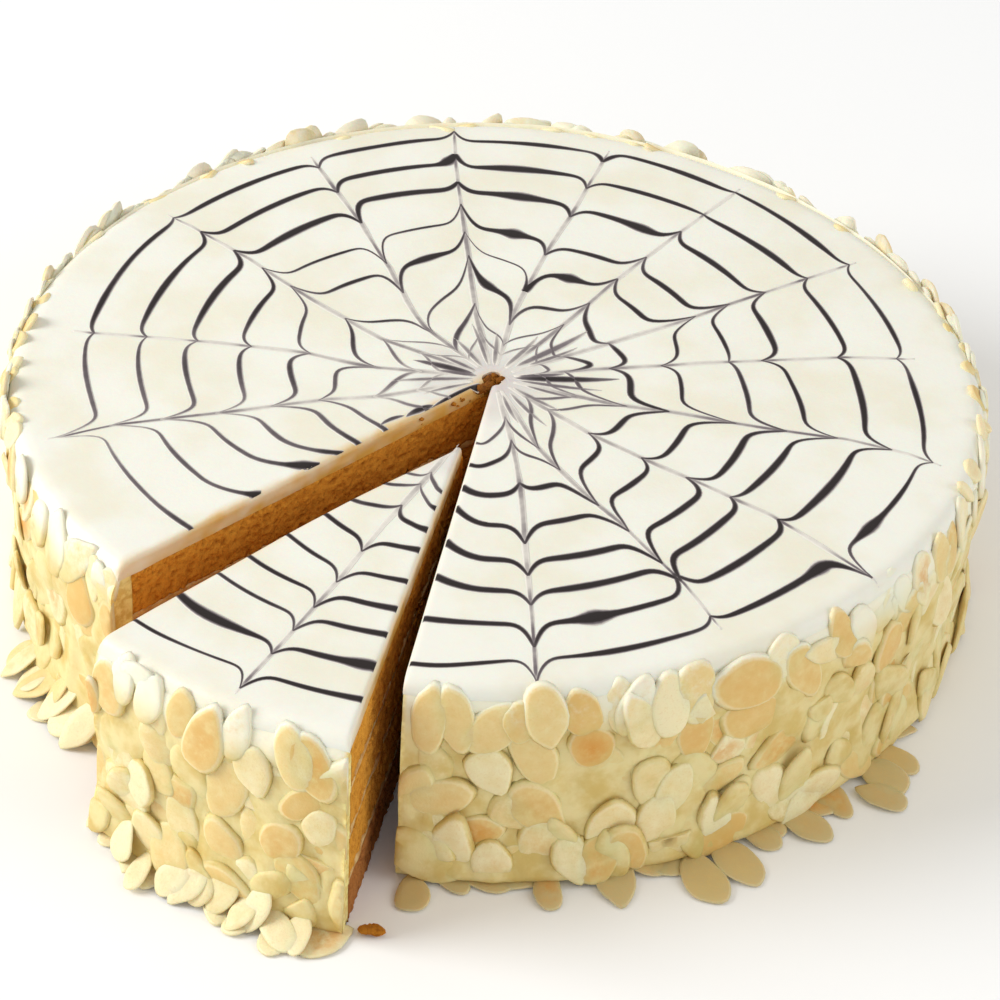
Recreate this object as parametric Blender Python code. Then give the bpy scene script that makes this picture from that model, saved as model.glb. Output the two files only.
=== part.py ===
"""A round almond torte with one slice drawn out to the front.

Every layer that the cuts show is a closed solid of its own, once in the torte and once in the slice.
The flaked almonds round the side are fused to the coat that they stick to. Crumb, piping and the
finest surface are not modelled here.
"""

import math
import random

import bmesh
import bpy
from mathutils import Matrix, Vector

# Heights of the layers in metres: sponges with fillings between them, and the icing on top
SPONGE_COUNT = 4
SPONGE_HEIGHT = 0.0125
FILLING_HEIGHT = 0.0020
ICING_HEIGHT = 0.0045
LAYER_GAP = 0.0003

# Radii in metres
SPONGE_FOOT_RADIUS = 0.1172
SPONGE_TOP_RADIUS = 0.1155
ICING_RADIUS = 0.1186
ICING_ROUNDING = 0.0015
COAT_TOP_RADIUS = 0.1184
COAT_WAIST_RADIUS = 0.1212
COAT_WAIST_HEIGHT = 0.0160
COAT_FOOT_RADIUS = 0.1246
COAT_FOOT_CLEARANCE = 0.0008

# The cream is thicker at the left and right, most at the rim: extra radius there, and how fast it fades
RIM_BULGE = 0.0055
RIM_BULGE_FADE = 4

# The cuts: directions in degrees, counterclockwise from +X, seen from above
NOTCH_LEFT = 223.5
NOTCH_RIGHT = 261.3
SLICE_LEFT = 225.0
SLICE_RIGHT = 258.6
SLICE_TIP_LOSS = 0.0050
SLICE_SHIFT = Vector((-0.0058, -0.0223, 0.0))

# Flaked almonds
FLAKE_LENGTH = 0.0155
FLAKE_WIDTH = 0.0098
FLAKE_THICKNESS = 0.0014
FLAKE_CROWN = 0.0004
FLAKE_TAPER = 0.22
FLAKE_CORNERS = 6
FLAKE_SPACING = 0.0144
FLAKE_FOOT_SPACING = 0.0105
FLAKE_ROW_HEIGHTS = (0.0062, 0.0180, 0.0298, 0.0417, 0.0536)
FLAKE_SCALES = (0.82, 1.16)
FLAKE_SIDE_JITTER = 0.28
FLAKE_LIFT_JITTER = 0.0020
FLAKE_FOOT_SPLAYS = (0.2, 1.0)
FLAKE_FOOT_SPLAY_ANGLE = 1.35
FLAKE_FOOT_DROP = 0.0028
FLAKE_FOOT_STAND = 0.0002
FLAKE_FOOT_REACH = 0.0044
FLAKE_FOOT_SPIN = 0.7
FLAKE_RIM_STANDS = (0.0006, 0.0014)
FLAKE_RIM_SPIN = 0.5
FLAKE_RIM_LEANS = (-0.16, -0.04)
FLAKE_WALL_STANDS = (0.0004, 0.0015)
FLAKE_WALL_LEAN = 0.28
FLAKE_SEED = 11

ARC_STEP = 6.0
COAT_ARC_STEP = 9.0
CUTTER_MARGIN = 0.02
SMOOTH_LIMIT = math.radians(35)

SPONGE_TOP = SPONGE_COUNT * SPONGE_HEIGHT + (SPONGE_COUNT - 1) * FILLING_HEIGHT
HEIGHT = SPONGE_TOP + ICING_HEIGHT

SPONGE_COLOUR = (0.50, 0.22, 0.035)
BASE_COLOUR = (0.22, 0.065, 0.018)
FILLING_COLOUR = (0.80, 0.58, 0.33)
ICING_COLOUR = (0.87, 0.85, 0.74)
ALMOND_COLOUR = (0.84, 0.68, 0.38)


def clear_scene():
    for thing in list(bpy.data.objects):
        bpy.data.objects.remove(thing, do_unlink=True)


def make_material(name, colour, roughness):
    material = bpy.data.materials.new(name)
    material.use_nodes = True
    shader = material.node_tree.nodes["Principled BSDF"]
    shader.inputs["Base Color"].default_value = (*colour, 1.0)
    shader.inputs["Roughness"].default_value = roughness
    shader.inputs["Metallic"].default_value = 0.0
    material.diffuse_color = (*colour, 1.0)
    return material


def make_object(name, mesh_builder, parent=None):
    mesh = bpy.data.meshes.new(name)
    mesh_builder.to_mesh(mesh)
    mesh_builder.free()
    thing = bpy.data.objects.new(name, mesh)
    bpy.context.collection.objects.link(thing)
    thing.parent = parent
    return thing


def bulge_share(degrees):
    """How much of the bulge is there in that direction: all of it at the left and right, none in front."""
    return math.cos(math.radians(degrees)) ** RIM_BULGE_FADE


class Sector:
    """A wedge seen from above, from one cut round to the other, with its point at the origin."""

    def __init__(self, first, last, tip=0.0):
        self.first = first
        self.last = last
        self.tip = tip

    def direction(self, degrees):
        return Vector((math.cos(math.radians(degrees)), math.sin(math.radians(degrees)), 0.0))

    def outline(self, radius, inset, bulge, step):
        """The points of the wedge, counterclockwise, with its cuts moved inwards by the inset."""
        middle = (self.first + self.last) / 2
        half = math.radians((self.last - self.first) / 2)
        point = self.direction(middle) * (inset / math.sin(half))
        lean = math.degrees(math.asin(inset / radius))
        steps = round((self.last - self.first) / step)
        start = self.first + lean
        stride = (self.last - lean - start) / steps
        points = []
        for k in range(steps + 1):
            angle = start + stride * k
            points.append(self.direction(angle) * (radius + bulge * bulge_share(angle)))
        if self.tip:
            points.append(point + self.direction(self.last) * self.tip)
            points.append(point + self.direction(self.first) * self.tip)
        else:
            points.append(point)
        return points


TORTE_SECTOR = Sector(NOTCH_RIGHT, NOTCH_LEFT + 360)
SLICE_SECTOR = Sector(SLICE_LEFT, SLICE_RIGHT, SLICE_TIP_LOSS)


def stacked_solid(sector, levels, step=ARC_STEP):
    """A closed solid through outlines at (height, radius, inset, bulge) levels, from the bottom up."""
    build = bmesh.new()
    rings = []
    for height, radius, inset, bulge in levels:
        lift = Vector((0.0, 0.0, height))
        rings.append([build.verts.new(point + lift) for point in sector.outline(radius, inset, bulge, step)])
    for lower, upper in zip(rings, rings[1:]):
        for k, vertex in enumerate(lower):
            following = (k + 1) % len(lower)
            build.faces.new((vertex, lower[following], upper[following], upper[k]))
    build.faces.new(reversed(rings[0]))
    build.faces.new(rings[-1])
    bmesh.ops.recalc_face_normals(build, faces=build.faces)
    return build


def sponge_radius(height):
    return SPONGE_FOOT_RADIUS + (SPONGE_TOP_RADIUS - SPONGE_FOOT_RADIUS) * height / SPONGE_TOP


def coat_radius(height):
    """The coat's outer radius: a flared foot below the waist, then a nearly upright wall."""
    if height < COAT_WAIST_HEIGHT:
        part = height / COAT_WAIST_HEIGHT
        return COAT_FOOT_RADIUS + (COAT_WAIST_RADIUS - COAT_FOOT_RADIUS) * part
    part = (height - COAT_WAIST_HEIGHT) / (SPONGE_TOP - COAT_WAIST_HEIGHT)
    return COAT_WAIST_RADIUS + (COAT_TOP_RADIUS - COAT_WAIST_RADIUS) * part


def coat_bulge(height):
    """The bulge grows evenly from nothing at the foot to all of it at the rim."""
    return RIM_BULGE * height / SPONGE_TOP


def make_layer(name, sector, parent, bottom, height):
    top = bottom + height - LAYER_GAP
    levels = ((bottom, sponge_radius(bottom), 0.0, 0.0), (top, sponge_radius(top), 0.0, 0.0))
    return make_object(name, stacked_solid(sector, levels), parent)


def make_icing(name, sector, parent):
    """The icing lies on the sponge and the coat, with its rim and its cut edges rounded over."""
    soft = ICING_ROUNDING
    levels = (
        (SPONGE_TOP, ICING_RADIUS, 0.0, RIM_BULGE),
        (HEIGHT - soft, ICING_RADIUS, 0.0, RIM_BULGE),
        (HEIGHT - 0.3 * soft, ICING_RADIUS - 0.3 * soft, 0.3 * soft, RIM_BULGE),
        (HEIGHT, ICING_RADIUS - soft, soft, RIM_BULGE),
    )
    return make_object(name, stacked_solid(sector, levels), parent)


def make_flake(length, width, place):
    """A thin almond-shaped plate, pointed at one end and slightly domed outside."""
    build = bmesh.new()
    rim = []
    for k in range(FLAKE_CORNERS):
        turn = 2 * math.pi * k / FLAKE_CORNERS
        along = math.cos(turn) * length / 2
        across = math.sin(turn) * width / 2 * (1 - FLAKE_TAPER * math.cos(turn))
        rim.append((along, across))
    half = FLAKE_THICKNESS / 2
    under = [build.verts.new((x, y, -half)) for x, y in rim]
    over = [build.verts.new((x, y, half)) for x, y in rim]
    crown = build.verts.new((0.0, 0.0, half + FLAKE_CROWN))
    build.faces.new(reversed(under))
    for k in range(FLAKE_CORNERS):
        following = (k + 1) % FLAKE_CORNERS
        build.faces.new((under[k], under[following], over[following], over[k]))
        build.faces.new((over[k], over[following], crown))
    bmesh.ops.transform(build, matrix=place, verts=build.verts)
    return build


def flake_place(angle, height, stand, spin, tilt):
    """Lays a flake on the coat: its face outwards, spun in its plane, then its lower end tilted in."""
    outward = Vector((math.cos(angle), math.sin(angle), 0.0))
    upward = Vector((0.0, 0.0, 1.0))
    sideways = upward.cross(outward)
    frame = Matrix((upward, sideways * -1.0, outward)).transposed().to_4x4()
    reach = coat_radius(height) + coat_bulge(height) * bulge_share(math.degrees(angle)) + stand
    position = outward * reach + upward * height
    return (
        Matrix.Translation(position)
        @ frame
        @ Matrix.Rotation(tilt, 4, "Y")
        @ Matrix.Rotation(spin, 4, "Z")
    )


def flake_manner(row, draw):
    """A flake's shift up, its distance off the coat, its spin and its tilt, for its row.

    The foot's flakes splay outwards, some nearly flat, and the top ones stand upright at the rim.
    """
    if row == 0:
        splay = draw.uniform(*FLAKE_FOOT_SPLAYS)
        stand = FLAKE_FOOT_STAND + FLAKE_FOOT_REACH * splay
        spin = draw.uniform(-FLAKE_FOOT_SPIN, FLAKE_FOOT_SPIN)
        return -FLAKE_FOOT_DROP * splay, stand, spin, FLAKE_FOOT_SPLAY_ANGLE * splay
    lift = draw.uniform(-FLAKE_LIFT_JITTER, FLAKE_LIFT_JITTER)
    if row == len(FLAKE_ROW_HEIGHTS) - 1:
        stand = draw.uniform(*FLAKE_RIM_STANDS)
        return lift, stand, draw.uniform(-FLAKE_RIM_SPIN, FLAKE_RIM_SPIN), draw.uniform(*FLAKE_RIM_LEANS)
    stand = draw.uniform(*FLAKE_WALL_STANDS)
    return lift, stand, draw.uniform(-math.pi, math.pi), draw.uniform(-FLAKE_WALL_LEAN, FLAKE_WALL_LEAN)


def make_flakes(sector, collection, seed):
    """Rows of flakes with every second row set over by half a step and each flake jittered."""
    draw = random.Random(seed)
    for row, row_height in enumerate(FLAKE_ROW_HEIGHTS):
        radius = coat_radius(row_height)
        arc = math.radians(sector.last - sector.first)
        count = round(arc * radius / (FLAKE_SPACING if row else FLAKE_FOOT_SPACING))
        for k in range(count):
            aside = 0.25 * (-1) ** row + draw.uniform(-FLAKE_SIDE_JITTER, FLAKE_SIDE_JITTER)
            part = (k + 0.5 + aside) / count
            angle = math.radians(sector.first) + arc * part
            scale = draw.uniform(*FLAKE_SCALES)
            lift, stand, spin, tilt = flake_manner(row, draw)
            place = flake_place(angle, row_height + lift, stand, spin, tilt)
            flake = make_object("flake", make_flake(FLAKE_LENGTH * scale, FLAKE_WIDTH * scale, place))
            bpy.context.collection.objects.unlink(flake)
            collection.objects.link(flake)


def apply_boolean(thing, operands, operation):
    """Joins or cuts by a collection of objects, applies the result and removes the operands.

    The manifold solver is used because the exact one is very slow on hundreds of overlapping flakes.
    """
    modifier = thing.modifiers.new(operation.lower(), "BOOLEAN")
    modifier.operation = operation
    modifier.solver = "MANIFOLD"
    modifier.operand_type = "COLLECTION"
    modifier.collection = operands
    bpy.context.view_layer.update()
    evaluated = thing.evaluated_get(bpy.context.evaluated_depsgraph_get())
    result = bpy.data.meshes.new_from_object(evaluated)
    thing.modifiers.clear()
    thing.data = result
    for operand in list(operands.objects):
        bpy.data.objects.remove(operand, do_unlink=True)


def operand_collection(name):
    collection = bpy.data.collections.new(name)
    bpy.context.scene.collection.children.link(collection)
    return collection


def add_operand(build, collection):
    operand = make_object("operand", build)
    bpy.context.collection.objects.unlink(operand)
    collection.objects.link(operand)


def core_cutter():
    """A turned solid that keeps the coat a small gap away from the sponge and the icing."""
    build = bmesh.new()
    icing_floor = SPONGE_TOP - LAYER_GAP
    profile = (
        (sponge_radius(-CUTTER_MARGIN) + LAYER_GAP, -CUTTER_MARGIN, 0.0),
        (sponge_radius(icing_floor) + LAYER_GAP, icing_floor, 0.0),
        (ICING_RADIUS + LAYER_GAP, icing_floor, RIM_BULGE),
        (ICING_RADIUS + LAYER_GAP, HEIGHT + CUTTER_MARGIN, RIM_BULGE),
    )
    steps = round(360 / ARC_STEP)
    # A flat side lies inside its circle, so the radii are widened by the depth of one side.
    widen = 1 / math.cos(math.pi / steps)
    rings = []
    for radius, height, bulge in profile:
        ring = []
        for k in range(steps):
            angle = 360 * k / steps
            reach = radius * widen + bulge * bulge_share(angle)
            way = math.radians(angle)
            ring.append(build.verts.new((math.cos(way) * reach, math.sin(way) * reach, height)))
        rings.append(ring)
    for lower, upper in zip(rings, rings[1:]):
        for k in range(steps):
            following = (k + 1) % steps
            build.faces.new((lower[k], lower[following], upper[following], upper[k]))
    build.faces.new(reversed(rings[0]))
    build.faces.new(rings[-1])
    return build


def floor_cutter():
    """A slab that keeps the coat's foot just clear of the surface that the torte stands on."""
    build = bmesh.new()
    bmesh.ops.create_cube(build, size=1.0)
    thickness = CUTTER_MARGIN
    reach = 3 * COAT_FOOT_RADIUS
    bmesh.ops.scale(build, vec=(reach, reach, thickness), verts=build.verts)
    bmesh.ops.translate(build, vec=(0, 0, COAT_FOOT_CLEARANCE - thickness / 2), verts=build.verts)
    return build


def outside_cutter(sector):
    """The wedge outside a sector, which trims the flakes flush with the cuts."""
    rest = Sector(sector.last, sector.first + 360)
    reach = 2 * COAT_FOOT_RADIUS
    levels = ((-CUTTER_MARGIN, reach, 0.0, 0.0), (HEIGHT + CUTTER_MARGIN, reach, 0.0, 0.0))
    return stacked_solid(rest, levels)


def keep_largest_body(thing):
    """Drops loose scraps and fills sealed hollows by keeping only the body with the most corners."""
    build = bmesh.new()
    build.from_mesh(thing.data)
    unseen = set(build.verts)
    bodies = []
    while unseen:
        front = [unseen.pop()]
        body = set(front)
        while front:
            vertex = front.pop()
            for edge in vertex.link_edges:
                other = edge.other_vert(vertex)
                if other in unseen:
                    unseen.discard(other)
                    body.add(other)
                    front.append(other)
        bodies.append(body)
    largest = max(bodies, key=len)
    loose = [vertex for vertex in build.verts if vertex not in largest]
    bmesh.ops.delete(build, geom=loose, context="VERTS")
    build.to_mesh(thing.data)
    build.free()


def make_coat(name, sector, parent, seed):
    """The coat round the side with its flaked almonds fused on, cut clear of all that it touches."""
    heights = (0.0, COAT_WAIST_HEIGHT, SPONGE_TOP)
    levels = [(height, coat_radius(height), 0.0, coat_bulge(height)) for height in heights]
    coat = make_object(name, stacked_solid(sector, levels, COAT_ARC_STEP))
    flakes = operand_collection(name + "_flakes")
    make_flakes(sector, flakes, seed)
    apply_boolean(coat, flakes, "UNION")
    cutters = operand_collection(name + "_cutters")
    add_operand(core_cutter(), cutters)
    add_operand(floor_cutter(), cutters)
    add_operand(outside_cutter(sector), cutters)
    apply_boolean(coat, cutters, "DIFFERENCE")
    keep_largest_body(coat)
    coat.parent = parent
    return coat


def finish(thing, material):
    thing.data.materials.clear()
    thing.data.materials.append(material)
    thing.data.shade_smooth()
    thing.data.set_sharp_from_angle(angle=SMOOTH_LIMIT)


def make_cake(prefix, sector, parent, looks, seed):
    """All the layers of one wedge, from the dark lowest sponge up, and the coat round its side."""
    for k in range(SPONGE_COUNT):
        bottom = k * (SPONGE_HEIGHT + FILLING_HEIGHT)
        sponge = make_layer(prefix + "sponge_%d" % (k + 1), sector, parent, bottom, SPONGE_HEIGHT)
        finish(sponge, looks["sponge"] if k else looks["base"])
        if k < SPONGE_COUNT - 1:
            bottom += SPONGE_HEIGHT
            filling = make_layer(prefix + "filling_%d" % (k + 1), sector, parent, bottom, FILLING_HEIGHT)
            finish(filling, looks["filling"])
    finish(make_icing(prefix + "icing", sector, parent), looks["icing"])
    finish(make_coat(prefix + "almond_coat", sector, parent, seed), looks["almond"])


def centre_on_origin(root):
    """Moves the whole so that the middle of the bottom of its bounding box is the origin."""
    bpy.context.view_layer.update()
    corners = []
    for thing in bpy.data.objects:
        if thing.type == "MESH":
            corners += [thing.matrix_world @ vertex.co for vertex in thing.data.vertices]
    lowest = [min(corner[axis] for corner in corners) for axis in range(3)]
    highest = [max(corner[axis] for corner in corners) for axis in range(3)]
    root.location = (-(lowest[0] + highest[0]) / 2, -(lowest[1] + highest[1]) / 2, -lowest[2])


def make_empty(name, parent, location):
    empty = bpy.data.objects.new(name, None)
    bpy.context.collection.objects.link(empty)
    empty.parent = parent
    empty.location = location
    return empty


def main():
    clear_scene()
    looks = {
        "sponge": make_material("sponge", SPONGE_COLOUR, 0.9),
        "base": make_material("base", BASE_COLOUR, 0.9),
        "filling": make_material("filling", FILLING_COLOUR, 0.6),
        "icing": make_material("icing", ICING_COLOUR, 0.35),
        "almond": make_material("almond", ALMOND_COLOUR, 0.55),
    }
    root = make_empty("cake", None, (0.0, 0.0, 0.0))
    torte_axis = make_empty("torte_axis", root, (0.0, 0.0, 0.0))
    slice_axis = make_empty("slice_axis", root, SLICE_SHIFT)
    make_cake("torte_", TORTE_SECTOR, torte_axis, looks, FLAKE_SEED)
    make_cake("slice_", SLICE_SECTOR, slice_axis, looks, FLAKE_SEED + 1)
    centre_on_origin(root)


main()
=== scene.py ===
"""Dresses the almond torte: iced top with a feathered web, cut sponge, cream coat and flaked almonds.

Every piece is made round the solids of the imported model, in metres, in the model's own frame.
"""

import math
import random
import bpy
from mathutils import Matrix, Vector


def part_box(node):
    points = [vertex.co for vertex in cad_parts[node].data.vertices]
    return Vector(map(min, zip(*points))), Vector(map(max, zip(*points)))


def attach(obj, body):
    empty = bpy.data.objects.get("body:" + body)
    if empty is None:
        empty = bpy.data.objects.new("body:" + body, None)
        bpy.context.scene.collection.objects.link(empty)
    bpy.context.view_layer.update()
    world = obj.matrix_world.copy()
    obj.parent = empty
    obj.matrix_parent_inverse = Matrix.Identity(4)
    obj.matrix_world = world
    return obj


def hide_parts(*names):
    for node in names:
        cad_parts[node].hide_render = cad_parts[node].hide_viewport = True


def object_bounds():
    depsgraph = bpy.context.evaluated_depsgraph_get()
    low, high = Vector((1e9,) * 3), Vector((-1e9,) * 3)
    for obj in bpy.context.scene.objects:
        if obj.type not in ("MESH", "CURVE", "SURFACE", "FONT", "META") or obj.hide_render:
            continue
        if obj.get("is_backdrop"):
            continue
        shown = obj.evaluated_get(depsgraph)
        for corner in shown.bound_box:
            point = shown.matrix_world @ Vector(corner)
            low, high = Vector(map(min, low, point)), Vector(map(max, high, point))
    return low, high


bl_info = {
    "name": "Almond torte",
    "version": (1, 0, 0),
    "blender": (4, 5, 0),
    "location": "3D View > Sidebar > Torte",
    "description": "Makes the icing, web, sponge, cream, almonds and studio of a cut almond torte",
    "category": "Object",
}

from collections import namedtuple
from functools import partial

import bmesh
import bpy
import numpy as np
from mathutils import Matrix, Vector

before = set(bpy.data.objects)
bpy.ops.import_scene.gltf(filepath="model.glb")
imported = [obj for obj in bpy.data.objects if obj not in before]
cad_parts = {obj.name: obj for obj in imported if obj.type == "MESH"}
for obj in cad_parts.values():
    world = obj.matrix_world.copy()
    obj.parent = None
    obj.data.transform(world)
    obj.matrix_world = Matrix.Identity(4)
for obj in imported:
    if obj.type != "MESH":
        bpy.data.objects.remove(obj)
CAD_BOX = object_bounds()
MM = 0.001

# The cuts: directions in degrees, counterclockwise from +X, seen from above
TORTE_FIRST_CUT = 261.3
TORTE_LAST_CUT = 582.8
SLICE_FIRST_CUT = 225.0
SLICE_LAST_CUT = 258.6
SLICE_SHIFT = (-0.0058, -0.0223)
SLICE_TIP_LOSS = 0.0050
TORTE_TIP_LOSS = 0.0004

SPONGE_COUNT = 4
FILLING_COUNT = 3

# The web is drawn in parts of this radius, the radius of its outer ring
WEB_RADIUS = 0.108


def light(red, green, blue):
    """A colour in linear light from its red, green and blue out of 255."""
    parts = [value / 255 for value in (red, green, blue)]
    return tuple(p / 12.92 if p <= 0.04045 else ((p + 0.055) / 1.055) ** 2.4 for p in parts)


# Smooth noise, pores and meshes


# Large odd numbers that scramble the place of a corner and the seed, and the bits that are kept
PLACE_FACTORS = (374761393, 668265263, 1442695041)
SEED_FACTOR = 974634777
LAST_FACTOR = 1274126177
WORD = 0xFFFFFFFF
HALF_WORD = 0xFFFF


def lattice(corner, seed):
    """A repeatable number from 0 to 1 for each whole-numbered corner."""
    mixed = ((corner * PLACE_FACTORS).sum(axis=-1) + seed * SEED_FACTOR) & WORD
    mixed = ((mixed ^ (mixed >> 13)) * LAST_FACTOR) & WORD
    return ((mixed ^ (mixed >> 16)) & HALF_WORD) / HALF_WORD


def soft_noise(points, cell, seed):
    """Smooth noise from -1 to 1 over cells of that size."""
    scaled = np.asarray(points, float) / cell
    base = np.floor(scaled).astype(np.int64)
    part = scaled - base
    part = part * part * (3.0 - 2.0 * part)
    total = np.zeros(len(scaled))
    for corner in np.ndindex(2, 2, 2):
        step = np.array(corner)
        weight = np.prod(np.where(step == 1, part, 1.0 - part), axis=1)
        total += weight * lattice(base + step, seed)
    return total * 2.0 - 1.0


def layered_noise(points, *layers):
    """Noise summed from layers of height, cell and seed."""
    return sum(height * soft_noise(points, cell, seed) for height, cell, seed in layers)


# A pore's smallest radius in cells, how much wider a few are, and how distances count along and upwards
PORE_RADIUS = 0.14
PORE_SPREAD = 0.5
PORE_WEIGHTS = (0.85, 1.15)


def pore_depth(along, height, cell, share, seed):
    """How deep each point of a cut face lies in a pore: 1 in the middle of one and 0 outside."""
    flat = np.column_stack([along, height]) / cell
    base = np.floor(flat).astype(np.int64)
    depth = np.zeros(len(flat))
    for step in np.ndindex(3, 3):
        near = base + np.array(step) - 1
        corner = np.column_stack([near, np.zeros(len(near), np.int64)])
        middle = near + np.column_stack([lattice(corner, seed), lattice(corner, seed + 1)])
        reach = PORE_RADIUS + PORE_SPREAD * lattice(corner, seed + 2) ** 3
        apart = np.linalg.norm((flat - middle) * PORE_WEIGHTS, axis=1) / reach
        there = lattice(corner, seed + 3) < share
        depth = np.maximum(depth, np.where(there, np.clip(1.0 - apart**2, 0.0, 1.0), 0.0))
    return depth


def new_piece(name, vertices, faces, material, slot=None, marks=None, sharp=None):
    """A smooth shaded mesh object that rides with the torte, with its marks as point attributes.

    Edges that bend by more than the sharp angle, in degrees, stay sharp.
    """
    mesh = bpy.data.meshes.new(name)
    mesh.from_pydata(np.asarray(vertices, float).tolist(), [], faces)
    mesh.validate()
    for label, values in (marks or {}).items():
        layer = mesh.attributes.new(label, "FLOAT", "POINT")
        layer.data.foreach_set("value", np.asarray(values, np.float32))
    mesh.materials.append(material)
    mesh.shade_smooth()
    if sharp:
        mesh.set_sharp_from_angle(angle=math.radians(sharp))
    piece = bpy.data.objects.new(name, mesh)
    bpy.context.scene.collection.objects.link(piece)
    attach(piece, "root")
    return piece


def cap(ring):
    """One face over a ring of vertices."""
    return tuple(int(i) for i in ring)


def flipped(faces):
    """The same faces, turned over."""
    return [face[::-1] for face in faces]


def lofted(rings, closed=True):
    """Faces between rings of equal length that follow each other, for vertices in ring order."""
    faces = []
    count = len(rings[0])
    for lower, upper in zip(rings, rings[1:]):
        for k in range(count if closed else count - 1):
            after = (k + 1) % count
            faces.append(cap((lower[k], lower[after], upper[after], upper[k])))
    return faces


def in_space(plan, height=0.0):
    """Points in space over those in plan, at that height."""
    return np.column_stack([plan, np.full(len(plan), height)])


def heading(way):
    """The unit vector in plan of a direction in radians."""
    return np.array([math.cos(way), math.sin(way)])


def left_of(steps):
    """Unit vectors in plan at right angles to those steps, on their left."""
    side = np.column_stack([-steps[:, 1], steps[:, 0]])
    return side / np.maximum(np.linalg.norm(side, axis=1), 1e-9)[:, None]


class Heap:
    """Gathers the points, faces and marks of many parts for one piece."""

    def __init__(self):
        self.points = []
        self.faces = []
        self.marks = {}
        self.count = 0

    def add(self, points, faces, **marks):
        """Adds a part, its faces counted from its own first point."""
        self.points.append(points)
        self.faces += [tuple(i + self.count for i in face) for face in faces]
        for label, values in marks.items():
            self.marks.setdefault(label, []).append(values)
        self.count += len(points)

    def piece(self, name, material, slot=None, sharp=None):
        marks = {label: np.concatenate(values) for label, values in self.marks.items()}
        return new_piece(name, np.concatenate(self.points), self.faces, material, slot, marks, sharp)


class Wedge:
    """A cut piece of the torte seen from above: its axis, its two cuts and the loss at its point."""

    def __init__(self, prefix, axis, first, last, tip):
        self.prefix = prefix
        self.axis = np.array(axis)
        self.first = math.radians(first)
        self.last = math.radians(last)
        self.sweep = self.last - self.first
        self.tip = tip

    def node(self, part):
        return "%s_%s" % (self.prefix, part)

    def angle_at(self, way):
        """The angle, counted on from the first cut, of a direction in degrees."""
        return (math.radians(way) - self.first) % (2 * math.pi)

    def way_at(self, angle):
        """The direction in degrees, from 0 to 360, of an angle counted on from the first cut."""
        return math.degrees(self.first + angle) % 360

    def place(self, radius, angle):
        """Points in plan at those radii and angles, the angles counted on from the first cut."""
        turned = self.first + np.asarray(angle, float)
        radius = np.asarray(radius, float)
        return np.stack([self.axis[0] + radius * np.cos(turned), self.axis[1] + radius * np.sin(turned)], -1)

    def polar(self, plan):
        """The radius of each point in plan, and its angle counted on from the first cut."""
        away = np.asarray(plan, float) - self.axis
        spare = (2 * math.pi - self.sweep) / 2
        angle = (np.arctan2(away[..., 1], away[..., 0]) - self.first + spare) % (2 * math.pi) - spare
        return np.hypot(away[..., 0], away[..., 1]), angle

    def cut_distance(self, radius, angle):
        """The distance in plan to the nearer edge of the icing along a cut."""
        return np.minimum(*self.cut_distances(radius, angle))

    def cut_distances(self, radius, angle):
        """The distances in plan to the icing's edge along the first cut and along the last one."""
        first = radius * np.sin(np.clip(angle, -math.pi / 2, math.pi / 2)) - cut_back(self, radius)
        return first, radius * np.sin(np.clip(self.sweep - angle, -math.pi / 2, math.pi / 2))


ICING_LOW, ICING_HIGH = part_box("torte_icing")
ICING_TOP = ICING_HIGH.z
ICING_BOTTOM = ICING_LOW.z
ICING_RADIUS = (ICING_HIGH.y - ICING_LOW.y) / 2
AXIS = ((ICING_LOW.x + ICING_HIGH.x) / 2, (ICING_LOW.y + ICING_HIGH.y) / 2)
SLICE_AXIS = (AXIS[0] + SLICE_SHIFT[0], AXIS[1] + SLICE_SHIFT[1])
TORTE = Wedge("torte", AXIS, TORTE_FIRST_CUT, TORTE_LAST_CUT, TORTE_TIP_LOSS)
SLICE = Wedge("slice", SLICE_AXIS, SLICE_FIRST_CUT, SLICE_LAST_CUT, SLICE_TIP_LOSS)
WEDGES = (TORTE, SLICE)

# The extra radius of the rim at the left and right, and the swelling on the right side
RIM_BULGE = (ICING_HIGH.x - ICING_LOW.x) / 2 - ICING_RADIUS
RIM_BULGE_FADE = 4
RIGHT_SWELL = 0.0022
RIGHT_SWELL_WAY = math.radians(-6)
RIGHT_SWELL_FOCUS = 5.8


def bulge(wedge, angle, height=ICING_BOTTOM):
    """The extra radius: at the left and right it grows from foot to rim, and the right side swells."""
    way = wedge.first + np.asarray(angle, float)
    share = np.cos(way) ** RIM_BULGE_FADE
    swell = RIGHT_SWELL * np.exp(RIGHT_SWELL_FOCUS * (np.cos(way - RIGHT_SWELL_WAY) - 1.0))
    return RIM_BULGE * share * np.minimum(np.asarray(height, float) / ICING_BOTTOM, 1.0) + swell


# How far the slice's icing is dragged back all along, how much further at its point, how far out that
# reaches, and the largest share of the slice's width that it takes
DRAG_BACK = 0.0004
POINT_DRAG = 0.0030
POINT_DRAG_REACH = 0.030
DRAG_SHARE = 0.62
LEAST_RADIUS = 0.001


def cut_back(wedge, radius):
    """How far the slice's icing has been dragged back from its first cut, most of all near its point."""
    radius = np.asarray(radius, float)
    if wedge is TORTE:
        return np.zeros(np.shape(radius))
    room = DRAG_SHARE * np.maximum(radius, LEAST_RADIUS) * math.sin(wedge.sweep)
    return np.minimum(DRAG_BACK + POINT_DRAG * np.exp(-((radius / POINT_DRAG_REACH) ** 2)), room)


# A point is moved back inside a cut from this distance along the cut, and up to this distance past it
MOVED_FROM = 0.006
MOVED_PAST = 0.002


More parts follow.
